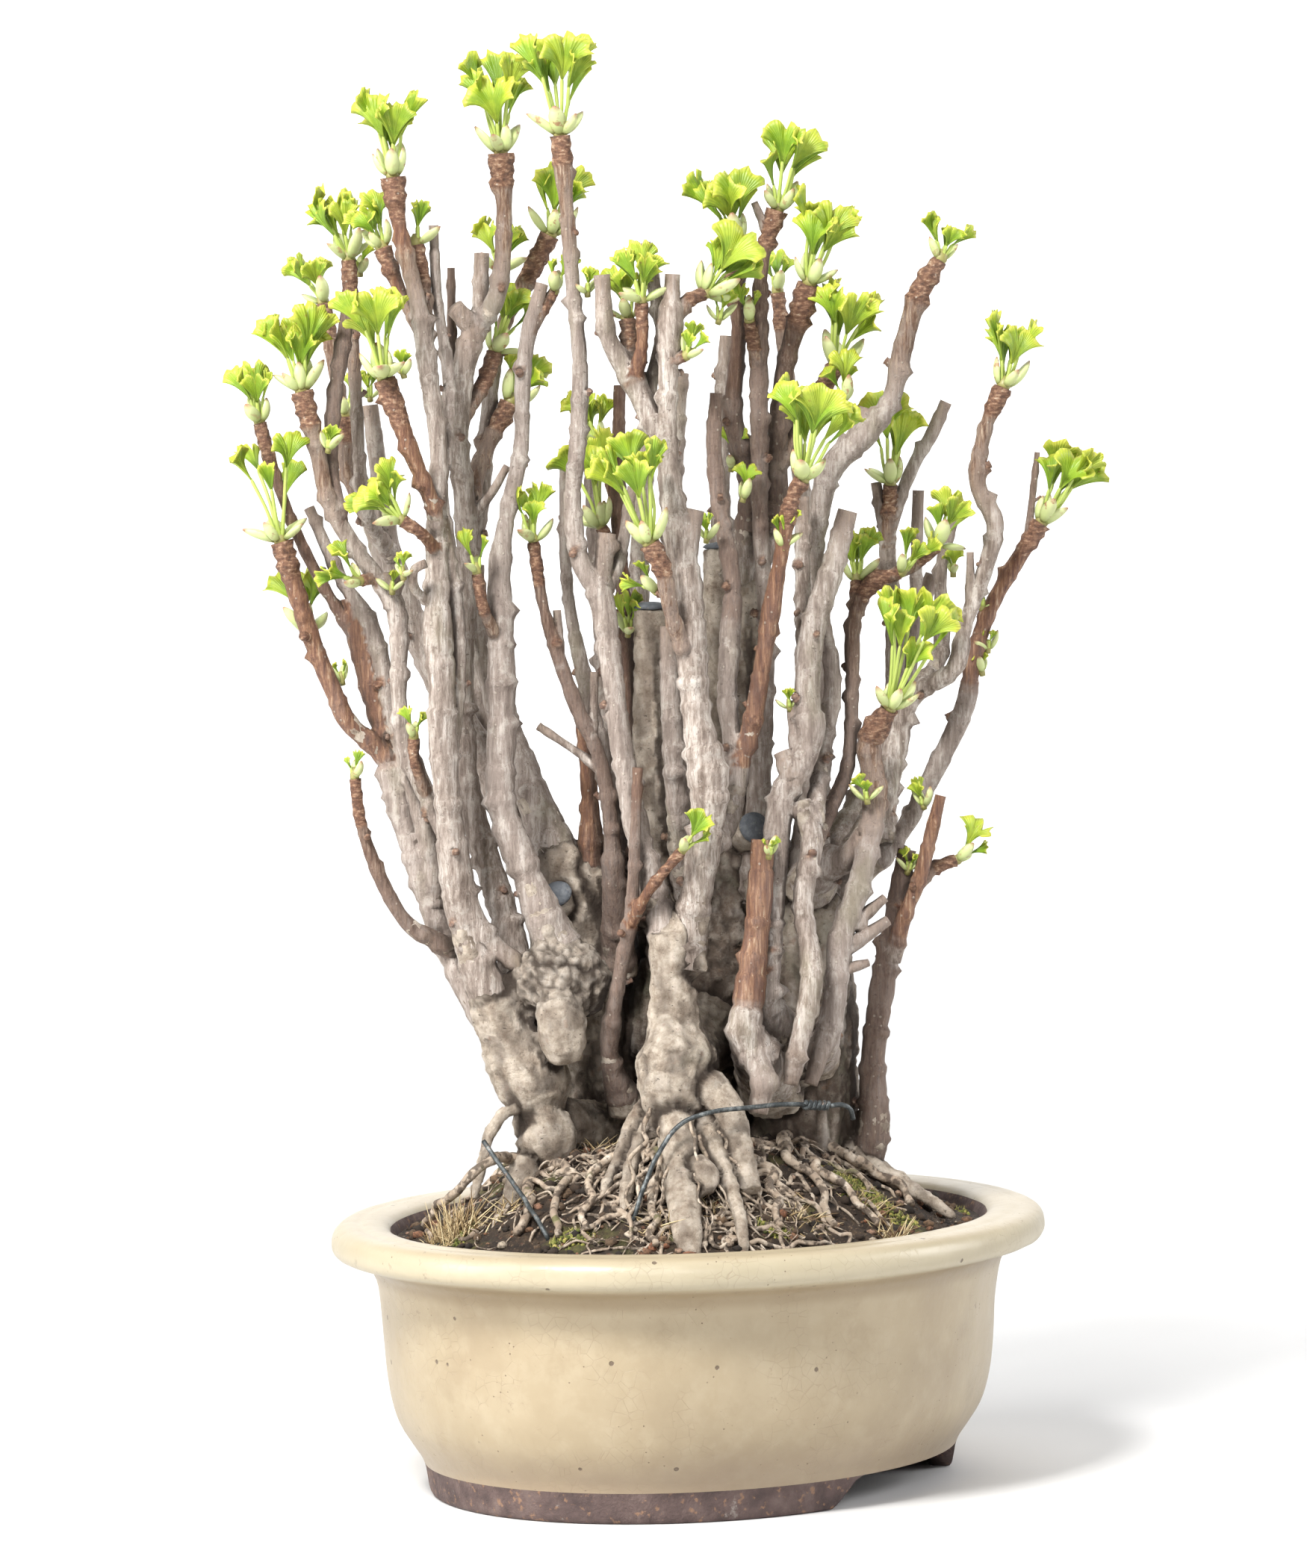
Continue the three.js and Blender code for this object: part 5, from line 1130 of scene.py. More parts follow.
def pebble(size, dice, flat=0.75):
    """A crumb: a rough ball of twenty faces."""
    verts, faces = round_ball(1)
    verts *= np.array([[size * dice.uniform(0.7, 1.3)] for _ in verts])
    verts[:, 2] *= flat
    verts[:, 0] *= dice.uniform(0.75, 1.3)
    turn = dice.uniform(0, math.pi)
    c, s = math.cos(turn), math.sin(turn)
    return verts @ np.array([[c, s, 0], [-s, c, 0], [0, 0, 1]]), faces


def scatter_spot(dice, most=0.985):
    while True:
        x, y = dice.uniform(-SOIL_LENGTH, SOIL_LENGTH), dice.uniform(-SOIL_WIDTH, SOIL_WIDTH)
        if share_out(x, y) < most:
            return x, y


def build_crumbs():
    """Crumbs of soil, bark and grit lying on the heap."""
    heap, dice = Heap(), rng(CRUMB_SEED)
    for _ in range(CRUMB_COUNT):
        x, y = scatter_spot(dice)
        size = 0.5 + 2.1 * dice.random() ** 2.8
        verts, faces = pebble(size, dice)
        verts += [x + POT_MIDDLE[0], y + POT_MIDDLE[1], ground(x, y) + size * 0.28]
        heap.add(verts, faces, tint=dice.random())
    return heap


def blade(heap, foot, tip, width, sag, dice, **marks):
    """A thin grass-like blade: a flat tapered strip with a little thickness."""
    foot, tip = np.array(foot), np.array(tip)
    along = unit(tip - foot)
    across = unit(np.cross(along, from_front((dice.uniform(-0.4, 0.4), 1, dice.uniform(-0.5, 0.5)))))
    out = np.cross(across, along)
    verts = []
    steps = 4
    for i in range(steps + 1):
        t = i / steps
        droop = np.array([0, 0, -sag * t * t])
        middle = foot + (tip - foot) * t + droop + out * sag * 0.3 * math.sin(math.pi * t)
        w = width * (1 - t) ** 0.7 + 0.04
        verts += [middle - across * w, middle + across * w, middle + out * w * 0.6]
    faces = ring_faces(steps + 1, 3) + [(2, 1, 0), (len(verts) - 3, len(verts) - 2, len(verts) - 1)]
    heap.add(verts, faces, **marks)


# Where the moss grows: across, height, reach along the view, reach away, as the eye sees the soil
MOSS = [
    [66, 98, 15, 10], [86, 102, 11, 9], [100, 94, 9, 6], [-86, 101, 12, 9], [-42, 86, 8, 5],
    [30, 88, 7, 5], [-96, 92, 8, 5], [52, 106, 8, 7],
]
# Dried plant bits: across, height, reach, how many blades, how tall they stand
DRIED = [
    [-84, 112, 9, 170, 17], [-92, 103, 8, 90, 9], [-66, 118, 7, 60, 8], [92, 106, 7, 110, 11],
    [72, 112, 7, 70, 10], [-30, 118, 6, 50, 7], [62, 96, 5, 30, 7], [8, 96, 7, 40, 6],
    [-12, 90, 6, 40, 6], [40, 92, 8, 50, 6],
]


def build_moss():
    heap, dice = Heap(), rng(MOSS_SEED)
    for across, height, wide, deep in MOSS:
        middle = on_mound(across, height, 0)
        for _ in range(int(wide * deep * MOSS_DENSITY)):
            r, a = math.sqrt(dice.random()), dice.uniform(0, 2 * math.pi)
            at = middle + from_front((wide * r * math.cos(a), deep * r * math.sin(a), 0))
            x, y = from_middle(at)
            if share_out(x, y) > 0.97:
                continue
            lump = 1.3 * max(0.0, 1 - r * r) + 0.9 * noise.noise(Vector((x / 3, y / 3, 1)))
            z = ground(x, y) - 0.3 + max(lump, -0.2)
            size = dice.uniform(0.35, 0.8)
            verts, faces = pebble(size, dice, 1.1)
            heap.add(verts + [at[0], at[1], z], faces, tint=dice.random(), stalk=0)
            if dice.random() < 0.35:
                tip = [at[0] + dice.gauss(0, 0.6), at[1] + dice.gauss(0, 0.6), z + dice.uniform(0.8, 2.2)]
                blade(heap, [at[0], at[1], z], tip, 0.16, 0.1, dice, tint=dice.random(), stalk=0.3)
    for across, height, reach, count, tall in DRIED:
        middle = on_mound(across, height, 0)
        for _ in range(count):
            at = middle + from_front((dice.gauss(0, reach * 0.42), dice.gauss(0, reach * 0.5), 0))
            x, y = from_middle(at)
            if share_out(x, y) > 0.95:
                continue
            z = ground(x, y) - 0.6
            rise = dice.uniform(2, tall)
            tip = at + from_front((dice.gauss(0, 4.5), dice.gauss(-1, 4), 0))
            tip[2] = z + rise
            blade(heap, [at[0], at[1], z], tip, dice.uniform(0.18, 0.42), dice.uniform(0, 3), dice,
                  tint=dice.random(), stalk=1)
    return heap


# Profile of the pot from the ground outside to the hollow inside: ring radius, height
POT_OUTSIDE = [
    [107, 12], [107.4, 3], [108.4, 0.3], [112, 0], [115.2, 0.4], [116.2, 3], [117.2, 9], [118.6, 13],
    [122.4, 18.6], [126.4, 25], [129.2, 33], [130.8, 42], [131.6, 52], [132.2, 62], [133, 70],
    [134.2, 76], [136.2, 79.6], [140, 82], [145, 83.4], [148.4, 84.6], [149.7, 86.6], [149.9, 89.4],
    [149, 92.4], [146.6, 94.4], [143, 95.1], [140.4, 94.9], [138, 95.4], [134, 95.1], [130.4, 94],
    [128.4, 91], [127, 86], [125.4, 70], [124, 52], [122.4, 38], [119.6, 28], [114, 21.2], [108, 19.2],
]


def build_pot(clay, glaze):
    path, _ = spline([(r, 0, z) for r, z in POT_OUTSIDE], [1] * len(POT_OUTSIDE), 2.2)
    verts = [oval(r, 2 * math.pi * j / POT_AROUND, z) for r, _, z in path for j in range(POT_AROUND)]
    verts = np.array(verts + [(0, 0, FLOOR_UNDERSIDE), (0, 0, FLOOR_TOP)], float)
    faces = ring_faces(len(path), POT_AROUND) + end_faces(len(path), POT_AROUND)
    # the hand of the potter: slow waves round the wall, shallow dimples in the glaze
    out = verts * [1, 1, 0]
    out /= np.linalg.norm(out, axis=1)[:, None] + 1e-6
    reach = np.hypot(verts[:, 0] / POT_LENGTH, verts[:, 1] / POT_WIDTH)
    wall = smooth((verts[:, 2] - 3) / 12) * smooth((reach - 0.75) / 0.1)
    waves = 0.5 * noise_at(verts, 45, 2, 2.2) + 0.22 * noise_at(verts, 13, 2, 5.0) - 0.25
    verts += out * (waves * wall)[:, None]
    heap = Heap()
    heap.add(verts + [POT_MIDDLE[0], POT_MIDDLE[1], 0], faces)
    pot = heap.make("oval_pot", glaze)
    pot.data.materials.append(clay)
    tools = []
    for side in (-1, 1):
        cut = Heap()
        half, slope = FOOT_GAP / 2, 11
        corners = [(-half, -2), (half, -2), (half - slope, 9.6), (half - slope - 3, 11),
                   (-half + slope + 3, 11), (-half + slope, 9.6)]
        verts = [(x + POT_MIDDLE[0], y + POT_MIDDLE[1], z)
                 for y in (side * 60, side * 130) for x, z in corners]
        m = len(corners)
        faces = [tuple(range(m)), tuple(range(2 * m - 1, m - 1, -1))]
        faces += [(j, m + j, m + (j + 1) % m, (j + 1) % m) for j in range(m)]
        cut.add(verts, faces)
        tools.append(cut.make(f"gap{side}", clay))
        hole = np.array([[side * DRAIN_OFFSET + POT_MIDDLE[0], POT_MIDDLE[1], z] for z in (5, 15, 26)])
        tube = Heap()
        tube.add(*tube_mesh(hole, [DRAIN_RADIUS] * 3, 40))
        tools.append(tube.make(f"drain{side}", clay))
    for piece in tools:
        clean = bmesh.new()
        clean.from_mesh(piece.data)
        bmesh.ops.recalc_face_normals(clean, faces=clean.faces)
        clean.to_mesh(piece.data)
        clean.free()
        cut = pot.modifiers.new("cut", "BOOLEAN")
        cut.operation, cut.object, cut.solver = "DIFFERENCE", piece, "EXACT"
    mesh = apply_modifiers(pot)
    drop(tools)
    for face in mesh.polygons:
        x, y, z = (c / MM for c in face.center)
        under = face.normal.z < -0.6 and z < 15
        outward = face.normal.x * (x - POT_MIDDLE[0]) + face.normal.y * (y - POT_MIDDLE[1])
        inside = 18 < z < 92 and (outward < 0 or face.normal.z > 0.6)
        face.material_index = 1 if z < 11.5 or under or inside else 0
    return pot


# Leaves

def fan(heap, foot, along, outward, stalk, size, open_angle, roll, flare, dice, age):
    """One young leaf: a stalk and a fan rolled like part of a funnel, notched, with a wavy rim."""
    across = unit(np.cross(along, outward))
    neck_way = unit(along * math.cos(0.2) + outward * math.sin(0.2))
    neck = foot + neck_way * stalk
    bow = outward * stalk * dice.uniform(-0.05, 0.08)
    thick = 0.78
    points = [foot - along * 1.2, (foot + neck) / 2 + bow, neck, neck + neck_way * size * 0.12]
    centres, wide = spline(points, [thick * 1.1, thick * 0.8, thick * 0.85, 0.3], 1.4)
    verts, faces = tube_mesh(centres, wide, 6)
    heap.add(verts, faces, fan_u=0, fan_v=-0.2, tint=age, scale=0)
    # The blade lies on a cone. Its middle line leans out by flare from the stalk.
    middle = unit(neck_way * math.cos(flare) + outward * math.sin(flare))
    facing = unit(np.cross(across, middle))  # towards the middle of the tuft
    cone = unit(middle * math.cos(roll) + facing * math.sin(roll))
    toward = unit(middle - cone * np.dot(middle, cone))
    steps_u, steps_v = LEAF_ACROSS, LEAF_ALONG
    notch, lobes = dice.uniform(0.10, 0.34), dice.uniform(5, 8)
    phase, ripple = dice.uniform(0, 6.3), dice.uniform(0.035, 0.08)
    curl = dice.uniform(0.02, 0.30)
    skew = dice.uniform(-0.12, 0.12)
    top, marks_u, marks_v = [], [], []
    for i in range(steps_v + 1):
        v = i / steps_v
        for j in range(steps_u + 1):
            u = 2 * j / steps_u - 1
            angle = u * open_angle
            rim = 1 - 0.10 * u * u - notch * math.exp(-(u / 0.085) ** 2)
            rim += 0.045 * math.cos(lobes * u * 2 + phase)
            rim += 0.02 * math.sin(23 * u + phase * 3) + skew * u * 0.5
            rho = size * (0.03 + 0.97 * v) * (1 + (rim - 1) * v ** 1.5)
            psi = angle / math.sin(roll) * (0.55 + 0.45 * v)
            round_cone = toward * math.cos(psi) + across * math.sin(psi)
            direction = cone * math.cos(roll) + math.sin(roll) * round_cone
            normal = unit(cone * math.sin(roll) - math.cos(roll) * round_cone)
            wave = size * ripple * v * v * math.sin(lobes * 1.7 * u + phase)
            wave += size * 0.012 * v * math.sin(17 * u + phase)
            out = size * curl * v ** 4
            top.append(neck + direction * rho + normal * wave - normal * out)
            marks_u.append(u)
            marks_v.append(v)
    top = np.array(top)
    row = steps_u + 1
    grid = top.reshape(steps_v + 1, row, 3)
    du = np.gradient(grid, axis=1)
    dv = np.gradient(grid, axis=0)
    normals = np.cross(du, dv).reshape(-1, 3)
    normals /= np.linalg.norm(normals, axis=1)[:, None] + 1e-9
    half = 0.30 - 0.12 * np.array(marks_v)
    shell = np.vstack([top + normals * half[:, None], top - normals * half[:, None]])
    n = len(top)
    faces = []
    for i in range(steps_v):
        for j in range(steps_u):
            a, b = i * row + j, (i + 1) * row + j
            faces.append((a, a + 1, b + 1, b))
            faces.append((n + a, n + b, n + b + 1, n + a + 1))
    edge = [j for j in range(row)] + [i * row + steps_u for i in range(1, steps_v + 1)]
    edge += [steps_v * row + j for j in range(steps_u - 1, -1, -1)]
    edge += [i * row for i in range(steps_v - 1, 0, -1)]
    for a, b in zip(edge, edge[1:] + edge[:1]):
        faces.append((b, a, n + a, n + b))
    heap.add(shell, faces, fan_u=marks_u * 2, fan_v=marks_v * 2, tint=age, scale=0)
    return neck + middle * size


def bud_scale(heap, foot, along, outward, length, dice):
    """A fleshy spoon-shaped scale standing out from the foot of a tuft."""
    across = unit(np.cross(along, outward))
    steps, around = 8, 10
    lean = dice.uniform(0.25, 1.0)
    bow = dice.uniform(-0.25, 0.35)
    plump = dice.uniform(0.22, 0.28)
    shell = []
    for i in range(steps + 1):
        t = i / steps
        half = length * plump * math.sin(math.pi * min(1.0, 0.10 + t * 0.88)) ** 0.62
        tilt = lean + bow * t
        spine = foot + (along * math.cos(tilt) + outward * math.sin(tilt)) * length * t
        facing = outward * math.cos(tilt) - along * math.sin(tilt)
        for j in range(around):
            a = 2 * math.pi * j / around
            u, w = math.cos(a), math.sin(a)
            # hollow towards the tuft, rounded outside
            depth = half * (0.52 * w + 0.34 * (1 - u * u) - 0.1)
            shell.append(spine + across * half * u + facing * depth)
    faces = ring_faces(steps + 1, around)
    faces.append(tuple(range(around - 1, -1, -1)))
    faces.append(tuple(steps * around + j for j in range(around)))
    marks = [i / steps for i in range(steps + 1) for _ in range(around)]
    heap.add(shell, faces, fan_u=0, fan_v=marks, tint=dice.random(), scale=1)


# Leaves in a tuft, where it isn't the number that BUNCHES gives
LEAF_COUNTS = {
    "left_leader": 6, "left_mid_tall": 7, "mid_stem": 7, "left_rear_high": 5, "left_spur_a": 4,
    "left_grey_a": 8, "left_brown": 4, "left_mid_spur": 4, "left_copper": 4, "left_outer_twig": 4,
    "left_arm_spur": 3, "left_fan_spur": 5, "left_mid_wrinkled": 4, "left_mid_dark": 3,
    "copper_back_b": 4, "mid_leaf_spur": 7, "mid_fork_copper": 5, "mid_main_arm": 6,
    "mid_main_spur": 4, "right_tall": 6, "right_brown": 6, "right_dark": 6, "right_dark_arm": 6,
    "mid_copper": 8, "crooked": 5, "right_tall_cut_spur": 4, "right_thin_spur": 4, "right_outer": 7,
    "right_zigzag": 5, "far_right": 6, "left_mid_rear": 5,
}


LEAF_LENGTH = 14.5, 18.5
SCALE_LENGTH = 8.5, 12.5
TALL_TUFT = 17  # mm, from which a tuft has one more leaf


def tuft(heap, tip, way, radius, height, spread, leaves, lean, dice, wood):
    """A tuft at tip: half-open fans on long stalks, close together, with pale bud scales below."""
    right = from_front((1, 0, 0))
    up = unit(unit(way + np.array([0, 0, 1.4])) + right * lean / height)
    side = unit(np.cross(up, right))
    front = np.cross(side, up)
    wide = min(radius * 0.9, 2.4)
    heart = tip + way * 1.2 + up * 1.2
    verts, faces = tube_mesh(np.array([tip - way * 0.8, tip + way * 0.8, heart, heart + up * 1.8]),
                             [wide, wide * 1.05, wide * 0.9, wide * 0.4], 10)
    heap.add(verts, faces, fan_u=0, fan_v=-1.0, tint=dice.random(), scale=0.5)
    turn = dice.uniform(0, 2 * math.pi)
    small = min(1.0, height / 26)
    for k in range(leaves + (1 if height > TALL_TUFT else 0)):
        inner = k % 3 == 2
        tall = height * (1 if k == 0 else dice.uniform(0.72, 1.0) * (0.86 if inner else 1))
        for attempt in range(6):
            angle = turn + (k + attempt * 0.3) * 2.4 + dice.uniform(-0.3, 0.3)
            outward = front * math.cos(angle) + side * math.sin(angle)
            size = dice.uniform(*LEAF_LENGTH) * (0.35 + 0.65 * small) * (1 - attempt * 0.05)
            size *= 0.85 if inner else 1
            size = min(size, tall * 0.68)
            reach = max(spread * 0.5 - size * 0.42, 0.5) * (0.25 if inner else dice.uniform(0.45, 0.85))
            leaning = math.atan2(reach, height)
            along = unit(up * math.cos(leaning) + outward * math.sin(leaning))
            out = unit(outward * math.cos(leaning) - up * math.sin(leaning))
            stalk = max(1.2, tall - size * 0.97 - 1.5)
            end = heart + along * (stalk + size)
            if not wood or attempt == 5 or wood.find_nearest(Vector(end * MM))[3] > size * 0.45 * MM:
                break
        open_angle = dice.uniform(0.42, 0.66)
        roll = dice.uniform(0.24, 0.36) if inner else dice.uniform(0.30, 0.55)
        flare = dice.uniform(-0.05, 0.06) if inner else dice.uniform(0.0, 0.22)
        foot = heart + outward * wide * 0.45
        fan(heap, foot, along, out, stalk, size, open_angle, roll, flare, dice, dice.random())
    count = max(2, min(5, int(height / 6)))
    for k in range(count):
        angle = turn + 0.7 + k * 2 * math.pi / count + dice.uniform(-0.4, 0.4)
        outward = front * math.cos(angle) + side * math.sin(angle)
        foot = tip + way * 0.9 + outward * wide * 0.75
        length = dice.uniform(*SCALE_LENGTH) * (0.45 + 0.55 * small)
        bud_scale(heap, foot, up, outward, length, dice)


def build_leaves(limbs, finish, wood):
    tips = {name: (c[-1], unit(c[-1] - c[-4]), r[-1]) for name, kind, c, r in limbs if kind == "stem"}
    for k, (stem, height, spread, leaves, lean) in enumerate(BUNCHES):
        heap = Heap()
        tip, way, radius = tips[stem]
        dice = rng(TUFT_SEED + k)
        tuft(heap, tip, way, radius, height, spread, LEAF_COUNTS.get(stem, leaves), lean, dice, wood)
        settle(heap.make("tuft_" + stem, finish), "leaves_" + stem)
    heap, dice = Heap(), rng(BUD_SEED)
    for across, height, depth, tall, spread, leaves in SMALL_BUDS:
        way = unit(from_front((dice.uniform(-0.4, 0.4), dice.uniform(-0.5, 0.1), 1)))
        tuft(heap, sight(across, height, depth), way, 1.2, tall, spread, leaves, 0, dice, wood)
    settle(heap.make("small_buds", finish), None)


# Wires and wound paste

WIRE_RADIUS = 0.85
STRAND_RADIUS = 0.8  # of the two strands twisted into the knot
TAIL_RADIUS = 0.9
KNOT_TURNS = 24  # points along each strand
# The wire's end past the knot: across, height, depth
KNOT_TAIL = [[50, 132.3, -61], [54, 132.6, -60], [57, 131, -58], [58, 127.5, -56]]
# A dab of paste: share of the cut's radius, height over the cut in mm
PASTE_PROFILE = [[0.92, 0.2], [1.0, 0.6], [0.985, 1.1], [0.9, 1.7], [0.74, 2.15], [0.5, 2.45], [0.25, 2.6]]
PASTE_AROUND = 40


def build_wire(name, finish):
    points = [sight(*p) for p in WIRES[name]]
    centres, wide = spline(points, [WIRE_RADIUS] * len(points), 1.0)
    heap = Heap()
    for i, p in enumerate(centres):
        p += 0.22 * np.array([noise.noise(Vector((i / 7, 3, 1))), noise.noise(Vector((i / 6, 8, 1))), 0])
    heap.add(*tube_mesh(centres, wide, 12))
    if name == "tie_wire_front":
        # twisted knot at the right end, its tail bent down
        end = points[-1]
        along = unit(points[-1] - points[-2])
        side = unit(np.cross(along, [0, 0, 1]))
        up = np.cross(side, along)
        for start in (0, math.pi):
            twist = []
            for t in range(KNOT_TURNS):
                out = side * math.cos(start + t * 0.75) + up * math.sin(start + t * 0.75)
                twist.append(end + along * (-6 + 0.42 * t) + out * 1.05)
            strand, widths = spline(twist, [STRAND_RADIUS] * KNOT_TURNS, 0.8)
            heap.add(*tube_mesh(strand, widths, 10))
        tail = [sight(*p) for p in KNOT_TAIL]
        centres, wide = spline(tail, [TAIL_RADIUS] * len(tail), 0.9)
        heap.add(*tube_mesh(centres, wide, 10))
    return heap.make(name + "_wire", finish)


def build_paste(limb, finish, seed):
    """A smear of wound paste over a sawn end: a low lumpy dome with a thin skirt."""
    name, _, centres, radii = limb
    tip, way, radius = centres[-1], unit(centres[-1] - centres[-4]), radii[-1] * 0.99
    across = unit(np.cross(way, [0.3, 1, 0.2]))
    other = np.cross(way, across)
    verts = []
    for r, h in PASTE_PROFILE:
        for j in range(PASTE_AROUND):
            a = 2 * math.pi * j / PASTE_AROUND
            verts.append(tip + way * h + (across * math.cos(a) + other * math.sin(a)) * radius * r)
    verts = np.array(verts)
    verts += 0.22 * noise_at(verts, 3.2, 3, seed)[:, None] * way - 0.05 * way
    verts = np.vstack([verts, tip + way * 0.35, tip + way * 2.45])
    heap = Heap()
    rings = len(PASTE_PROFILE)
    heap.add(verts, ring_faces(rings, PASTE_AROUND) + end_faces(rings, PASTE_AROUND))
    return heap.make("paste_on_" + name, finish)


# Finishes

def stem_bark():
    f = Finish("stem_bark", 0.8)
    fibre = f.noise(0.9, 5, 0.68, stretch=(1, 1, 9))
    broad = f.noise(3.2, 5, 0.66, stretch=(1, 1, 5))
    grey = f.ramp(broad, [
        (0.31, (0.105, 0.072, 0.052)), (0.44, (0.27, 0.215, 0.178)), (0.53, (0.42, 0.356, 0.308)),
        (0.65, (0.66, 0.60, 0.545)),
    ])
    streaked = f.mix(fibre.step(0.48, 0.60) * 0.75, grey, f.mix(0.7, grey, (0.11, 0.072, 0.05)))
    lilac = f.mix(f.mark("tint") * 0.45 + f.noise(30, 3) * 0.35 - 0.1, streaked, (0.315, 0.262, 0.235))
    blotch = f.mix(f.noise(8, 6, 0.7).step(0.55, 0.66) * 0.55, lilac, (0.56, 0.51, 0.455))
    green = f.mix(f.noise(19, 4, stretch=(1, 1, 3)).step(0.54, 0.70) * 0.35, blotch, (0.235, 0.22, 0.13))
    brown = f.ramp(fibre, [
        (0.3, (0.075, 0.036, 0.022)), (0.5, (0.19, 0.112, 0.072)), (0.68, (0.43, 0.33, 0.245)),
    ])
    fresh = f.mix((f.mark("young") * 1.5).clamped() * (0.5 + 0.5 * broad.step(0.42, 0.58)), green, brown)
    copper_tone = f.ramp(f.noise(1.2, 5, 0.62, stretch=(1, 1, 12)), [
        (0.3, (0.065, 0.020, 0.011)), (0.48, (0.155, 0.062, 0.030)), (0.60, (0.27, 0.135, 0.068)),
        (0.74, (0.48, 0.36, 0.25)),
    ])
    coppery = f.mix(f.mark("copper") * 0.88, fresh, copper_tone)
    dark_tone = f.ramp(fibre, [
        (0.32, (0.06, 0.032, 0.023)), (0.55, (0.165, 0.10, 0.072)), (0.75, (0.33, 0.25, 0.195)),
    ])
    darker = f.mix(f.mark("dark") * 0.72, coppery, dark_tone)
    flakes = f.ramp(f.noise(1.5, 4, 0.6, stretch=(1.6, 1.6, 0.7)), [
        (0.32, (0.05, 0.021, 0.012)), (0.5, (0.165, 0.075, 0.042)), (0.62, (0.34, 0.20, 0.12)),
        (0.74, (0.58, 0.46, 0.34)),
    ])
    scaly = f.mix(f.mark("spur") * 0.88, darker, flakes)
    cracks = f.noise(1.5, 6, 0.75, stretch=(1.3, 1.3, 1))
    aged = f.mix(cracks.step(0.42, 0.31) * 0.75, scaly, (0.075, 0.05, 0.038))
    dots = f.cells(4.1).step(0.135, 0.075)
    dotted = f.mix(dots * 0.42, aged, (0.60, 0.53, 0.44))
    # painted shade: the bark darkened where the wood close by shuts it in
    f.colour(f.mix(f.mark("shelter").step(0.16, 0.60) * 0.75, dotted, (0.05, 0.033, 0.023)))
    f.rough(0.64 + 0.26 * f.noise(3, 3) - 0.24 * f.mark("copper"))
    f.bump(fibre * 0.9 + broad * 0.6 + cracks * 0.9 + dots * 0.35, 0.7, 1.0)
    return f.material


def old_bark():
    f = Finish("old_bark", 0.86)
    base = f.ramp(f.noise(6, 7, 0.7), [
        (0.28, (0.19, 0.135, 0.095)), (0.44, (0.42, 0.345, 0.27)), (0.56, (0.60, 0.515, 0.42)),
        (0.72, (0.78, 0.71, 0.63)),
    ])
    trunk = f.ramp(f.noise(4, 7, 0.72), [
        (0.3, (0.075, 0.052, 0.038)), (0.47, (0.19, 0.142, 0.108)), (0.6, (0.325, 0.272, 0.222)),
        (0.75, (0.46, 0.41, 0.355)),
    ])
    thick = f.mix(f.mark("thick").step(0.52, 0.64), base, trunk)
    grain = f.mix((f.mark("grain") * 1.6 + 0.62).clamped(), f.mix(0.6, thick, (0.10, 0.07, 0.05)), thick)
    algae = f.noise(21, 4).step(0.50, 0.68) * f.mark("thick").step(0.4, 0.6)
    green = f.mix(algae * 0.6, grain, (0.175, 0.18, 0.115))
    rusty = f.mix(f.noise(6, 5).step(0.62, 0.72) * 0.5, green, (0.27, 0.15, 0.085))
    burl = f.ramp(f.noise(3.2, 6, 0.72), [
        (0.3, (0.16, 0.12, 0.088)), (0.5, (0.43, 0.365, 0.30)), (0.74, (0.64, 0.585, 0.515)),
    ])
    knotted = f.mix(f.mark("burl"), rusty, burl)
    # painted highlight on the proud bark
    proud_highlight = f.mix(f.mark("proud") * 0.55, knotted, (0.74, 0.69, 0.63))
    # dark in cracks and pits, and painted shade in the folds between limbs and on low, pushed-in bark
    deep = f.mix(f.mark("crevice") * 0.95, proud_highlight, (0.035, 0.022, 0.014))
    height = f.height()
    earthy = f.mix(height.step(0.104, 0.086) * 0.15, deep, (0.20, 0.145, 0.10))
    cracks = f.noise(1.6, 6, 0.78, stretch=(1.5, 1.5, 1))
    cracked = f.mix(cracks.step(0.42, 0.32) * 0.9, earthy, (0.055, 0.04, 0.03))
    # painted shade: the old wood darkened where the wood close by shuts it in
    f.colour(f.mix(f.mark("shelter").step(0.14, 0.50) * 0.9, cracked, (0.04, 0.025, 0.016)))
    f.rough(0.72 + 0.26 * f.noise(4, 3))
    f.bump(cracks * 1.3 + f.noise(4, 6, 0.72) * 1.2, 1.0, 1.0)
    return f.material


def root_skin():
    f = Finish("root_skin", 0.85)
    base = f.ramp(f.noise(4, 5), [
        (0.25, (0.16, 0.11, 0.075)), (0.5, (0.38, 0.30, 0.225)), (0.74, (0.66, 0.585, 0.49)),
    ])
    patches = f.mix(f.noise(16, 2), (0.13, 0.08, 0.05), (0.50, 0.42, 0.33))
    tinted = f.mix(f.mark("tint") * 0.75, base, patches)
    soiled = f.mix(f.noise(3.0, 4).step(0.47, 0.60) * 0.85, tinted, (0.06, 0.042, 0.03))
    f.colour(f.mix(f.noise(12, 4).step(0.60, 0.72) * 0.5, soiled, (0.16, 0.165, 0.05)))
    f.bump(f.noise(1.1, 4) + 0.7 * f.noise(3, 3), 0.4, 0.9)
    return f.material


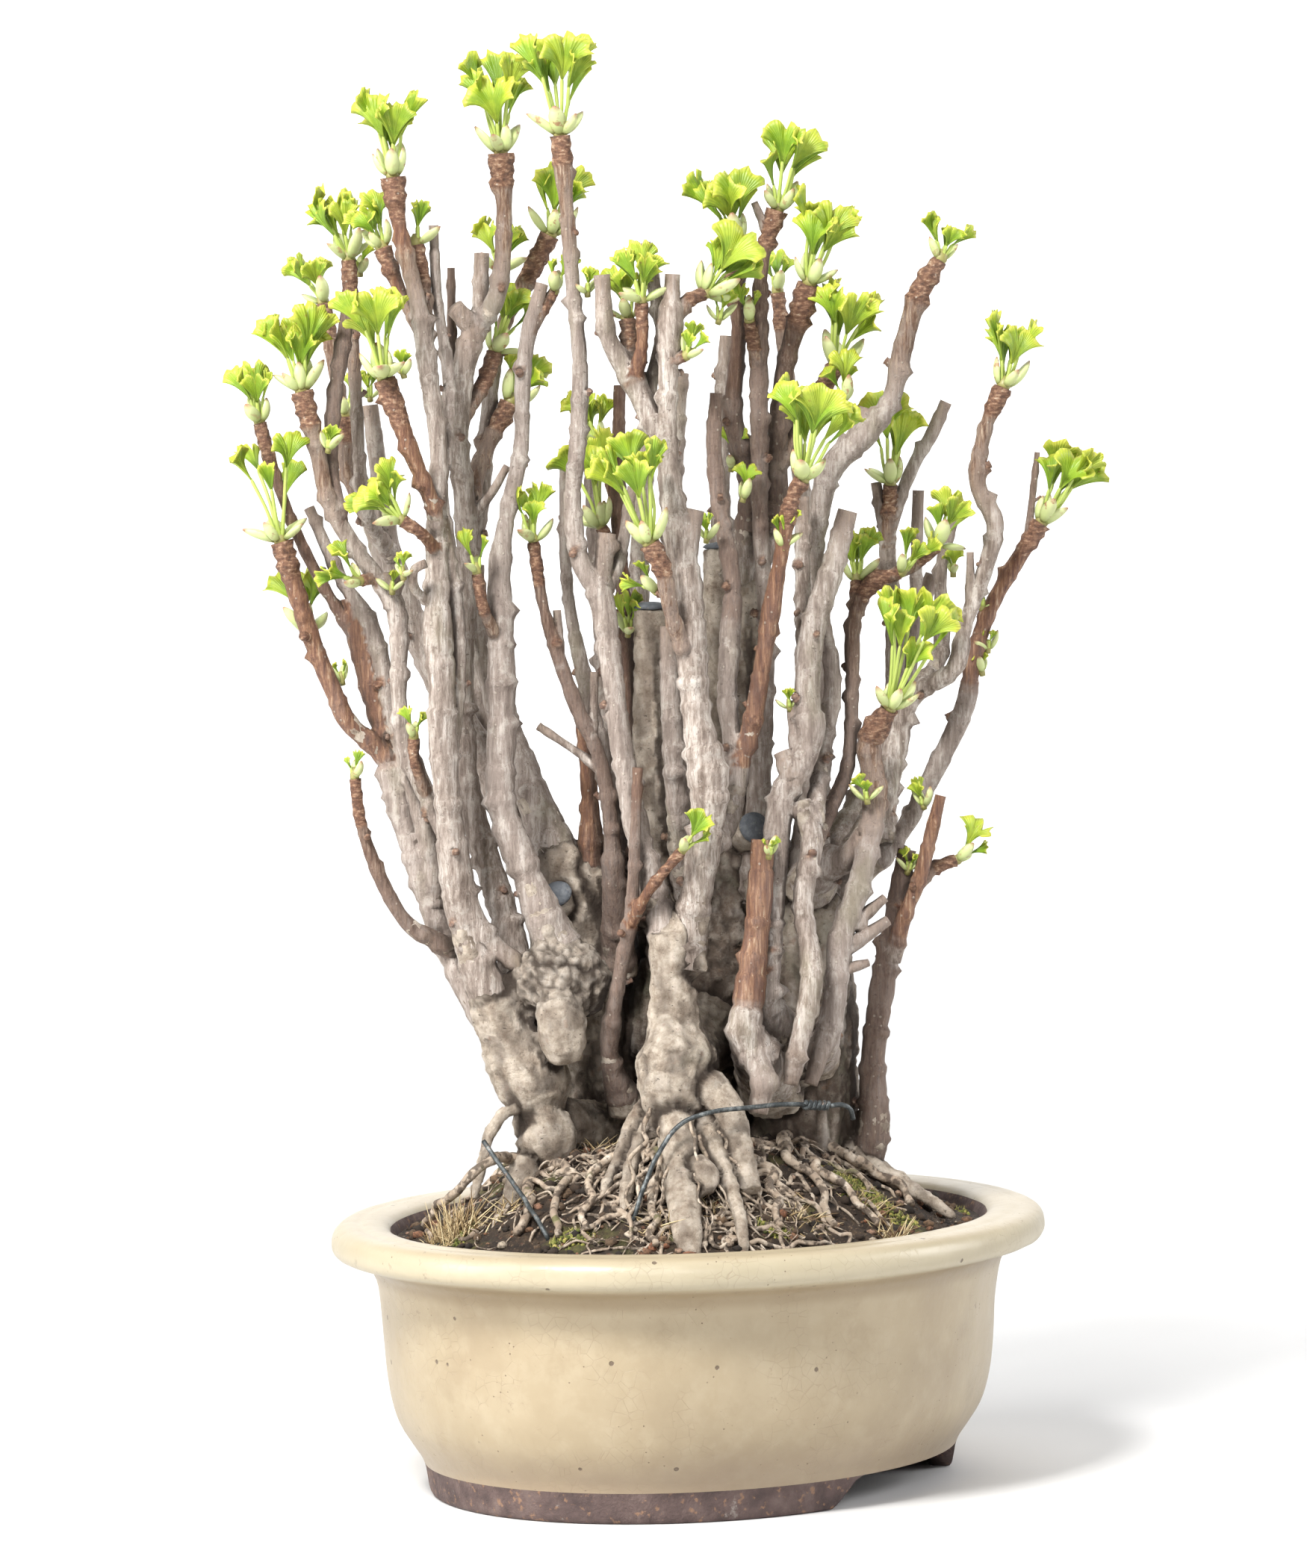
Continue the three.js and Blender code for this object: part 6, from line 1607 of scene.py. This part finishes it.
def dark_soil():
    f = Finish("dark_soil", 0.93)
    base = f.ramp(f.noise(5, 7, 0.7), [
        (0.3, (0.010, 0.0065, 0.005)), (0.52, (0.036, 0.022, 0.013)), (0.72, (0.11, 0.070, 0.040)),
    ])
    fibre = f.noise(1.0, 5, 0.75, stretch=(3.5, 1, 1)).step(0.57, 0.66)
    fibred = f.mix(fibre * 0.75, base, (0.25, 0.165, 0.105))
    moss_tone = f.mix(f.noise(1.4, 4), (0.05, 0.055, 0.012), (0.20, 0.19, 0.055))
    moss = f.mix(f.noise(24, 4, 0.6).step(0.56, 0.66) * 0.55, fibred, moss_tone)
    red = f.mix(f.cells(4.3).step(0.2, 0.1) * 0.4, moss, (0.23, 0.088, 0.047))
    f.colour(f.mix(f.cells(6.1).step(0.11, 0.05) * 0.8, red, (0.42, 0.36, 0.29)))
    f.rough(0.82 + 0.16 * f.noise(2, 3))
    f.bump(f.noise(2.2, 7, 0.75) + 0.6 * f.noise(0.8, 4), 1.3, 1.0)
    return f.material


def crumb_soil():
    f = Finish("soil_crumbs", 0.93)
    base = f.ramp(f.mark("tint"), [
        (0.0, (0.010, 0.007, 0.005)), (0.45, (0.045, 0.028, 0.018)), (0.75, (0.15, 0.095, 0.055)),
        (0.93, (0.23, 0.095, 0.05)), (1.0, (0.40, 0.34, 0.26)),
    ])
    f.colour(f.mix(f.noise(1.2, 4).step(0.45, 0.6) * 0.6, base, (0.03, 0.02, 0.014)))
    f.bump(f.noise(0.8, 5), 0.4, 1.0)
    return f.material


def moss_green():
    f = Finish("moss", 0.9)
    green = f.ramp(f.mark("tint"), [
        (0.0, (0.045, 0.055, 0.010)), (0.45, (0.12, 0.135, 0.025)), (0.8, (0.26, 0.25, 0.055)),
        (1.0, (0.40, 0.33, 0.10)),
    ])
    straw = f.ramp(f.mark("tint"), [
        (0.0, (0.16, 0.095, 0.045)), (0.5, (0.48, 0.35, 0.18)), (1.0, (0.74, 0.62, 0.38)),
    ])
    f.colour(f.mix(f.mark("stalk"), green, straw))
    f.bump(f.noise(0.6, 3), 0.2, 0.8)
    return f.material


def leaf_green():
    f = Finish("young_leaf", 0.45)
    v, u, tint, scale = f.mark("fan_v"), f.mark("fan_u"), f.mark("tint"), f.mark("scale")
    body = f.ramp(v, [
        (0.0, (0.33, 0.42, 0.055)), (0.3, (0.235, 0.375, 0.022)), (0.72, (0.28, 0.41, 0.022)),
        (1.0, (0.44, 0.50, 0.045)),
    ])
    age = f.mix((tint - 0.3) * 0.85, body, (0.46, 0.50, 0.05))
    deep = f.mix(f.noise(8, 3).step(0.40, 0.62) * 0.6, age, (0.105, 0.225, 0.010))
    vein = (u * 74 + 7 * f.noise(11, 2)).sine()
    veined = f.mix((vein * 0.5 + 0.5) * 0.22, deep, (0.16, 0.29, 0.012))
    rim = v.step(0.86, 1.0) * (0.35 + 0.65 * f.noise(2.4, 3).step(0.4, 0.6))
    rimmed = f.mix(rim * 0.55, veined, (0.66, 0.60, 0.09))
    spot = f.cells(5.2).step(0.13, 0.04) * v.step(0.55, 0.85)
    spotted = f.mix(spot * 0.7, rimmed, (0.25, 0.14, 0.03))
    stalk = f.mix(v.step(-0.05, -0.15), spotted, (0.40, 0.49, 0.11))
    heart = f.mix(v.step(-0.6, -0.8), stalk, (0.27, 0.25, 0.08))
    husk = f.ramp(v, [
        (0.0, (0.26, 0.30, 0.09)), (0.3, (0.49, 0.565, 0.235)), (0.82, (0.56, 0.60, 0.30)),
        (1.0, (0.30, 0.15, 0.085)),
    ])
    browned = f.mix(f.noise(2.6, 4).step(0.56, 0.68) * tint, husk, (0.32, 0.14, 0.07))
    f.colour(f.mix(scale.step(0.7, 0.9), heart, browned))
    f.rough(0.36 + 0.2 * f.noise(5, 3))
    f.bump(vein * 0.5 + f.noise(2.5, 3), 0.16, 0.7)
    return f.material


def pot_glaze():
    f = Finish("pale_glaze", 0.3, Coat_Roughness=0.12)
    height = f.height()
    body = f.ramp(f.noise(70, 5, 0.55), [
        (0.3, (0.275, 0.21, 0.132)), (0.5, (0.345, 0.276, 0.178)), (0.72, (0.41, 0.338, 0.23)),
    ])
    cloudy = f.mix(f.noise(9, 5, 0.6).step(0.45, 0.70) * 0.14, body, (0.52, 0.45, 0.33))
    stained = f.mix(f.noise(30, 6, 0.7).step(0.54, 0.72) * 0.5, cloudy, (0.27, 0.205, 0.125))
    # painted highlight: the lip paler than the wall below it
    lip = f.mix(height.step(0.0815, 0.0845) * 0.5, stained, (0.475, 0.435, 0.32))
    # a darker brown band in the crease under the lip
    crease = height.step(0.0735, 0.0785) * height.step(0.0835, 0.0812)
    under_lip_band = f.mix(crease * 0.6, lip, (0.23, 0.165, 0.09))
    rim = f.mix(height.step(0.0925, 0.0945) * 0.30, under_lip_band, (0.35, 0.26, 0.15))
    foot = f.mix(height.step(0.030, 0.014) * (0.2 + 0.6 * f.noise(6, 4)), rim, (0.285, 0.215, 0.15))
    drip = f.noise(5, 4, 0.6, stretch=(1, 1, 7)).step(0.60, 0.74) * height.step(0.078, 0.06)
    dripped = f.mix(drip * 0.3, foot, (0.32, 0.25, 0.15))
    crackle = f.cells(4.6, "DISTANCE_TO_EDGE").step(0.022, 0.006) * f.noise(20, 3).step(0.44, 0.62)
    crackled = f.mix(crackle * 0.28, dripped, (0.25, 0.18, 0.11))
    specks = f.cells(3.1).step(0.115, 0.05) * f.noise(13, 3).step(0.48, 0.6)
    specked = f.mix(specks * 0.7, crackled, (0.13, 0.08, 0.05))
    smudge = f.noise(7, 6, 0.75).step(0.60, 0.68) * f.noise(36, 2).step(0.52, 0.62)
    smudged = f.mix(smudge * 0.5, specked, (0.15, 0.105, 0.07))
    big = f.cells(15).step(0.066, 0.044)
    f.colour(f.mix(big * 0.8, smudged, (0.09, 0.058, 0.04)))
    f.rough(0.27 + 0.2 * f.noise(9, 4) + 0.3 * specks)
    relief = f.noise(24, 4) * 2.0 + f.noise(3.2, 4) * 0.3
    f.bump(relief - specks * 0.9 - big * 1.4 - crackle * 0.2, 0.4, 0.7)
    return f.material


def foot_clay():
    f = Finish("bare_clay", 0.86)
    base = f.ramp(f.noise(8, 6), [
        (0.3, (0.06, 0.04, 0.038)), (0.52, (0.105, 0.07, 0.064)), (0.74, (0.165, 0.118, 0.105)),
    ])
    lime = f.mix(f.noise(11, 5, 0.7).step(0.62, 0.74) * 0.5, base, (0.50, 0.47, 0.42))
    f.colour(f.mix(f.noise(3, 4).step(0.58, 0.68) * 0.6, lime, (0.32, 0.18, 0.10)))
    f.bump(f.noise(1.2, 5), 0.5, 1.0)
    return f.material


def slate_paste():
    f = Finish("wound_paste_skin", 0.7)
    base = f.ramp(f.noise(5, 5), [
        (0.3, (0.045, 0.052, 0.062)), (0.55, (0.10, 0.11, 0.125)), (0.78, (0.19, 0.20, 0.21)),
    ])
    f.colour(f.mix(f.noise(1.6, 4).step(0.60, 0.70) * 0.4, base, (0.27, 0.25, 0.22)))
    f.bump(f.noise(1.3, 5) + f.noise(3.5, 3), 0.6, 1.0)
    return f.material


def grey_wire():
    f = Finish("dull_wire", 0.5, Metallic=0.6)
    base = f.ramp(f.noise(3, 5, 0.7), [
        (0.34, (0.03, 0.034, 0.036)), (0.52, (0.075, 0.084, 0.087)), (0.66, (0.21, 0.225, 0.225)),
        (0.8, (0.50, 0.52, 0.51)),
    ])
    f.colour(f.mix(f.noise(2.2, 4).step(0.62, 0.7) * 0.7, base, (0.17, 0.12, 0.09)))
    f.rough(0.4 + 0.3 * f.noise(2, 3))
    f.bump(f.noise(0.9, 3), 0.12, 0.8)
    return f.material


def net_plastic():
    f = Finish("net_plastic", 0.6)
    f.colour(f.ramp(f.noise(5, 4), [(0.35, (0.012, 0.012, 0.012)), (0.7, (0.045, 0.04, 0.035))]))
    f.bump(f.noise(1.2, 3), 0.1, 0.6)
    return f.material


def plain_backdrop():
    f = Finish("backdrop_paper", 0.95)
    f.colour(f.ramp(f.noise(900, 2), [(0.3, (0.70, 0.70, 0.70)), (0.7, (0.74, 0.74, 0.74))]))
    return f.material


# The studio

def to_row(view_point):
    p = from_front(view_point)
    return Vector(((p[0] + POT_MIDDLE[0]) * MM, (p[1] + POT_MIDDLE[1]) * MM, p[2] * MM))


def place_camera():
    data = bpy.data.cameras.new("eye")
    data.sensor_fit, data.sensor_width, data.lens = "AUTO", 36, LENS
    data.clip_start, data.clip_end = 0.05, 60
    camera = bpy.data.objects.new("eye", data)
    bpy.context.scene.collection.objects.link(camera)
    turn = Matrix.Rotation(TURN, 4, "Z") @ Matrix.Rotation(math.pi / 2 - EYE_PITCH, 4, "X")
    turn = turn @ Matrix.Rotation(EYE_ROLL, 4, "Z")
    camera.matrix_world = Matrix.Translation(to_row((EYE_ACROSS, -EYE_DISTANCE, EYE_HEIGHT))) @ turn
    bpy.context.scene.camera = camera


# The stage, mm
FLOOR_NEAR = 4600
FLOOR_FAR = 3900
WALL_CURVE = 900
WALL_TOP = 4200
STAGE_HALF = 4800
AMBIENT = 0.15

# Lights: place and aim as the eye sees them, mm; width and height, m; watts; colour
LIGHTS = {
    "window_left": [(-1900, -700, 800), (0, 0, 120), (0.9, 1.2), 40, (1.0, 0.985, 0.955)],
    "key_high": [(-700, -1500, 1800), (0, 0, 200), (0.5, 0.5), 74, (1.0, 0.99, 0.97)],
    "fill_front": [(500, -2300, 1100), (0, 0, 180), (0.7, 0.7), 17, (0.985, 0.985, 1.0)],
    "right_edge": [(1700, 300, 700), (0, 0, 120), (0.7, 0.9), 17, (1, 1, 1)],
    "above": [(300, 500, 1900), (0, 0, 100), (1.4, 1.4), 12, (1, 1, 1)],
    "wall_wash": [(0, 3300, 2900), (0, 5000, 700), (4.0, 1.0), 190, (1, 1, 1)],
}


def place_stage():
    """A pale floor that curves up into a pale wall behind the tree."""
    profile = [(-FLOOR_NEAR, 0), (FLOOR_FAR, 0)]
    for k in range(1, 13):
        a = math.pi / 2 * k / 12
        profile.append((FLOOR_FAR + WALL_CURVE * math.sin(a), WALL_CURVE * (1 - math.cos(a))))
    profile.append((FLOOR_FAR + WALL_CURVE, WALL_TOP))
    verts = [to_row((side * STAGE_HALF, y, z)) for y, z in profile for side in (-1, 1)]
    faces = [(2 * i, 2 * i + 1, 2 * i + 3, 2 * i + 2) for i in range(len(profile) - 1)]
    mesh = bpy.data.meshes.new("backdrop")
    mesh.from_pydata(verts, [], faces)
    mesh.shade_smooth()
    mesh.materials.append(plain_backdrop())
    piece = bpy.data.objects.new("backdrop", mesh)
    bpy.context.scene.collection.objects.link(piece)


def place_light(name, view_place, aim, size, power, colour):
    data = bpy.data.lights.new(name, "AREA")
    data.shape, data.size, data.size_y = "RECTANGLE", size[0], size[1]
    data.energy, data.color = power, colour
    lamp = bpy.data.objects.new(name, data)
    bpy.context.scene.collection.objects.link(lamp)
    lamp.location = to_row(view_place)
    way = to_row(aim) - lamp.location
    lamp.rotation_euler = way.to_track_quat("-Z", "Y").to_euler()


def light_studio():
    world = bpy.data.worlds.new("studio_air")
    bpy.context.scene.world = world
    world.use_nodes = True
    background = world.node_tree.nodes["Background"]
    background.inputs["Color"].default_value = (1.0, 1.0, 1.0, 1)
    background.inputs["Strength"].default_value = AMBIENT
    for name, settings in LIGHTS.items():
        place_light(name, *settings)
    bpy.context.scene.view_settings.view_transform = "Standard"


def dress(piece, finish):
    piece.data.materials.clear()
    piece.data.materials.append(finish)


def settle(piece, node):
    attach(piece, "root")
    if node:
        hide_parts(node)


place_camera()
place_stage()
light_studio()

limbs = wood_paths()
stem_parts, stem_samples = build_stems(limbs)
stems = join_solids(stem_parts, "wood_stems")
stems.data.shade_smooth()
nearest_marks(stems.data, stem_samples, ["copper", "dark", "spur", "tint", "young"])
dress(stems, stem_bark())
settle(stems, "ginkgo_wood")

stump = build_old_wood(limbs)
grain_lines = []
for name, kind, centres, radii in limbs:
    if kind != "stem" or radii[0] >= THICK_STEM:
        ways = np.gradient(centres, axis=0)
        for i in range(0, len(centres), 2):
            grain_lines.append((centres[i], unit(ways[i]), radii[i], name))
carve_bark(stump, grain_lines)
dress(stump, old_bark())
stump.data.shade_smooth()
settle(stump, "ginkgo_wood")

wood_tree = solid_tree([stems, stump])
mark_shade_from_wood(stems.data, wood_tree)
mark_shade_from_wood(stump.data, wood_tree)

fine = build_fine_roots().make("fine_roots", root_skin())
settle(fine, "ginkgo_wood")

soil = build_soil(dark_soil())
settle(soil, "soil")
crumbs = build_crumbs().make("soil_crumbs", crumb_soil())
settle(crumbs, "soil")
moss = build_moss().make("moss_and_dried_tufts", moss_green())
settle(moss, "soil")

pot = build_pot(foot_clay(), pot_glaze())
settle(pot, "pot")

wire_finish = grey_wire()
for name in WIRES:
    settle(build_wire(name, wire_finish), name)

paste_finish = slate_paste()
by_name = {limb[0]: limb for limb in limbs}
PASTED = {"wound_paste_top": "old_trunk", "wound_paste_stub": "sawn_stub",
          "wound_paste_left": "paste_stub_left", "wound_paste_right": "paste_stub_right"}
for seed, (node, limb) in enumerate(PASTED.items()):
    settle(build_paste(by_name[limb], paste_finish, seed * 7.0), node)

net = net_plastic()
for side in (1, 2):
    for slot in bpy.data.objects[f"drain_mesh_{side}"].material_slots:
        slot.material = net

build_leaves(limbs, leaf_green(), wood_tree)
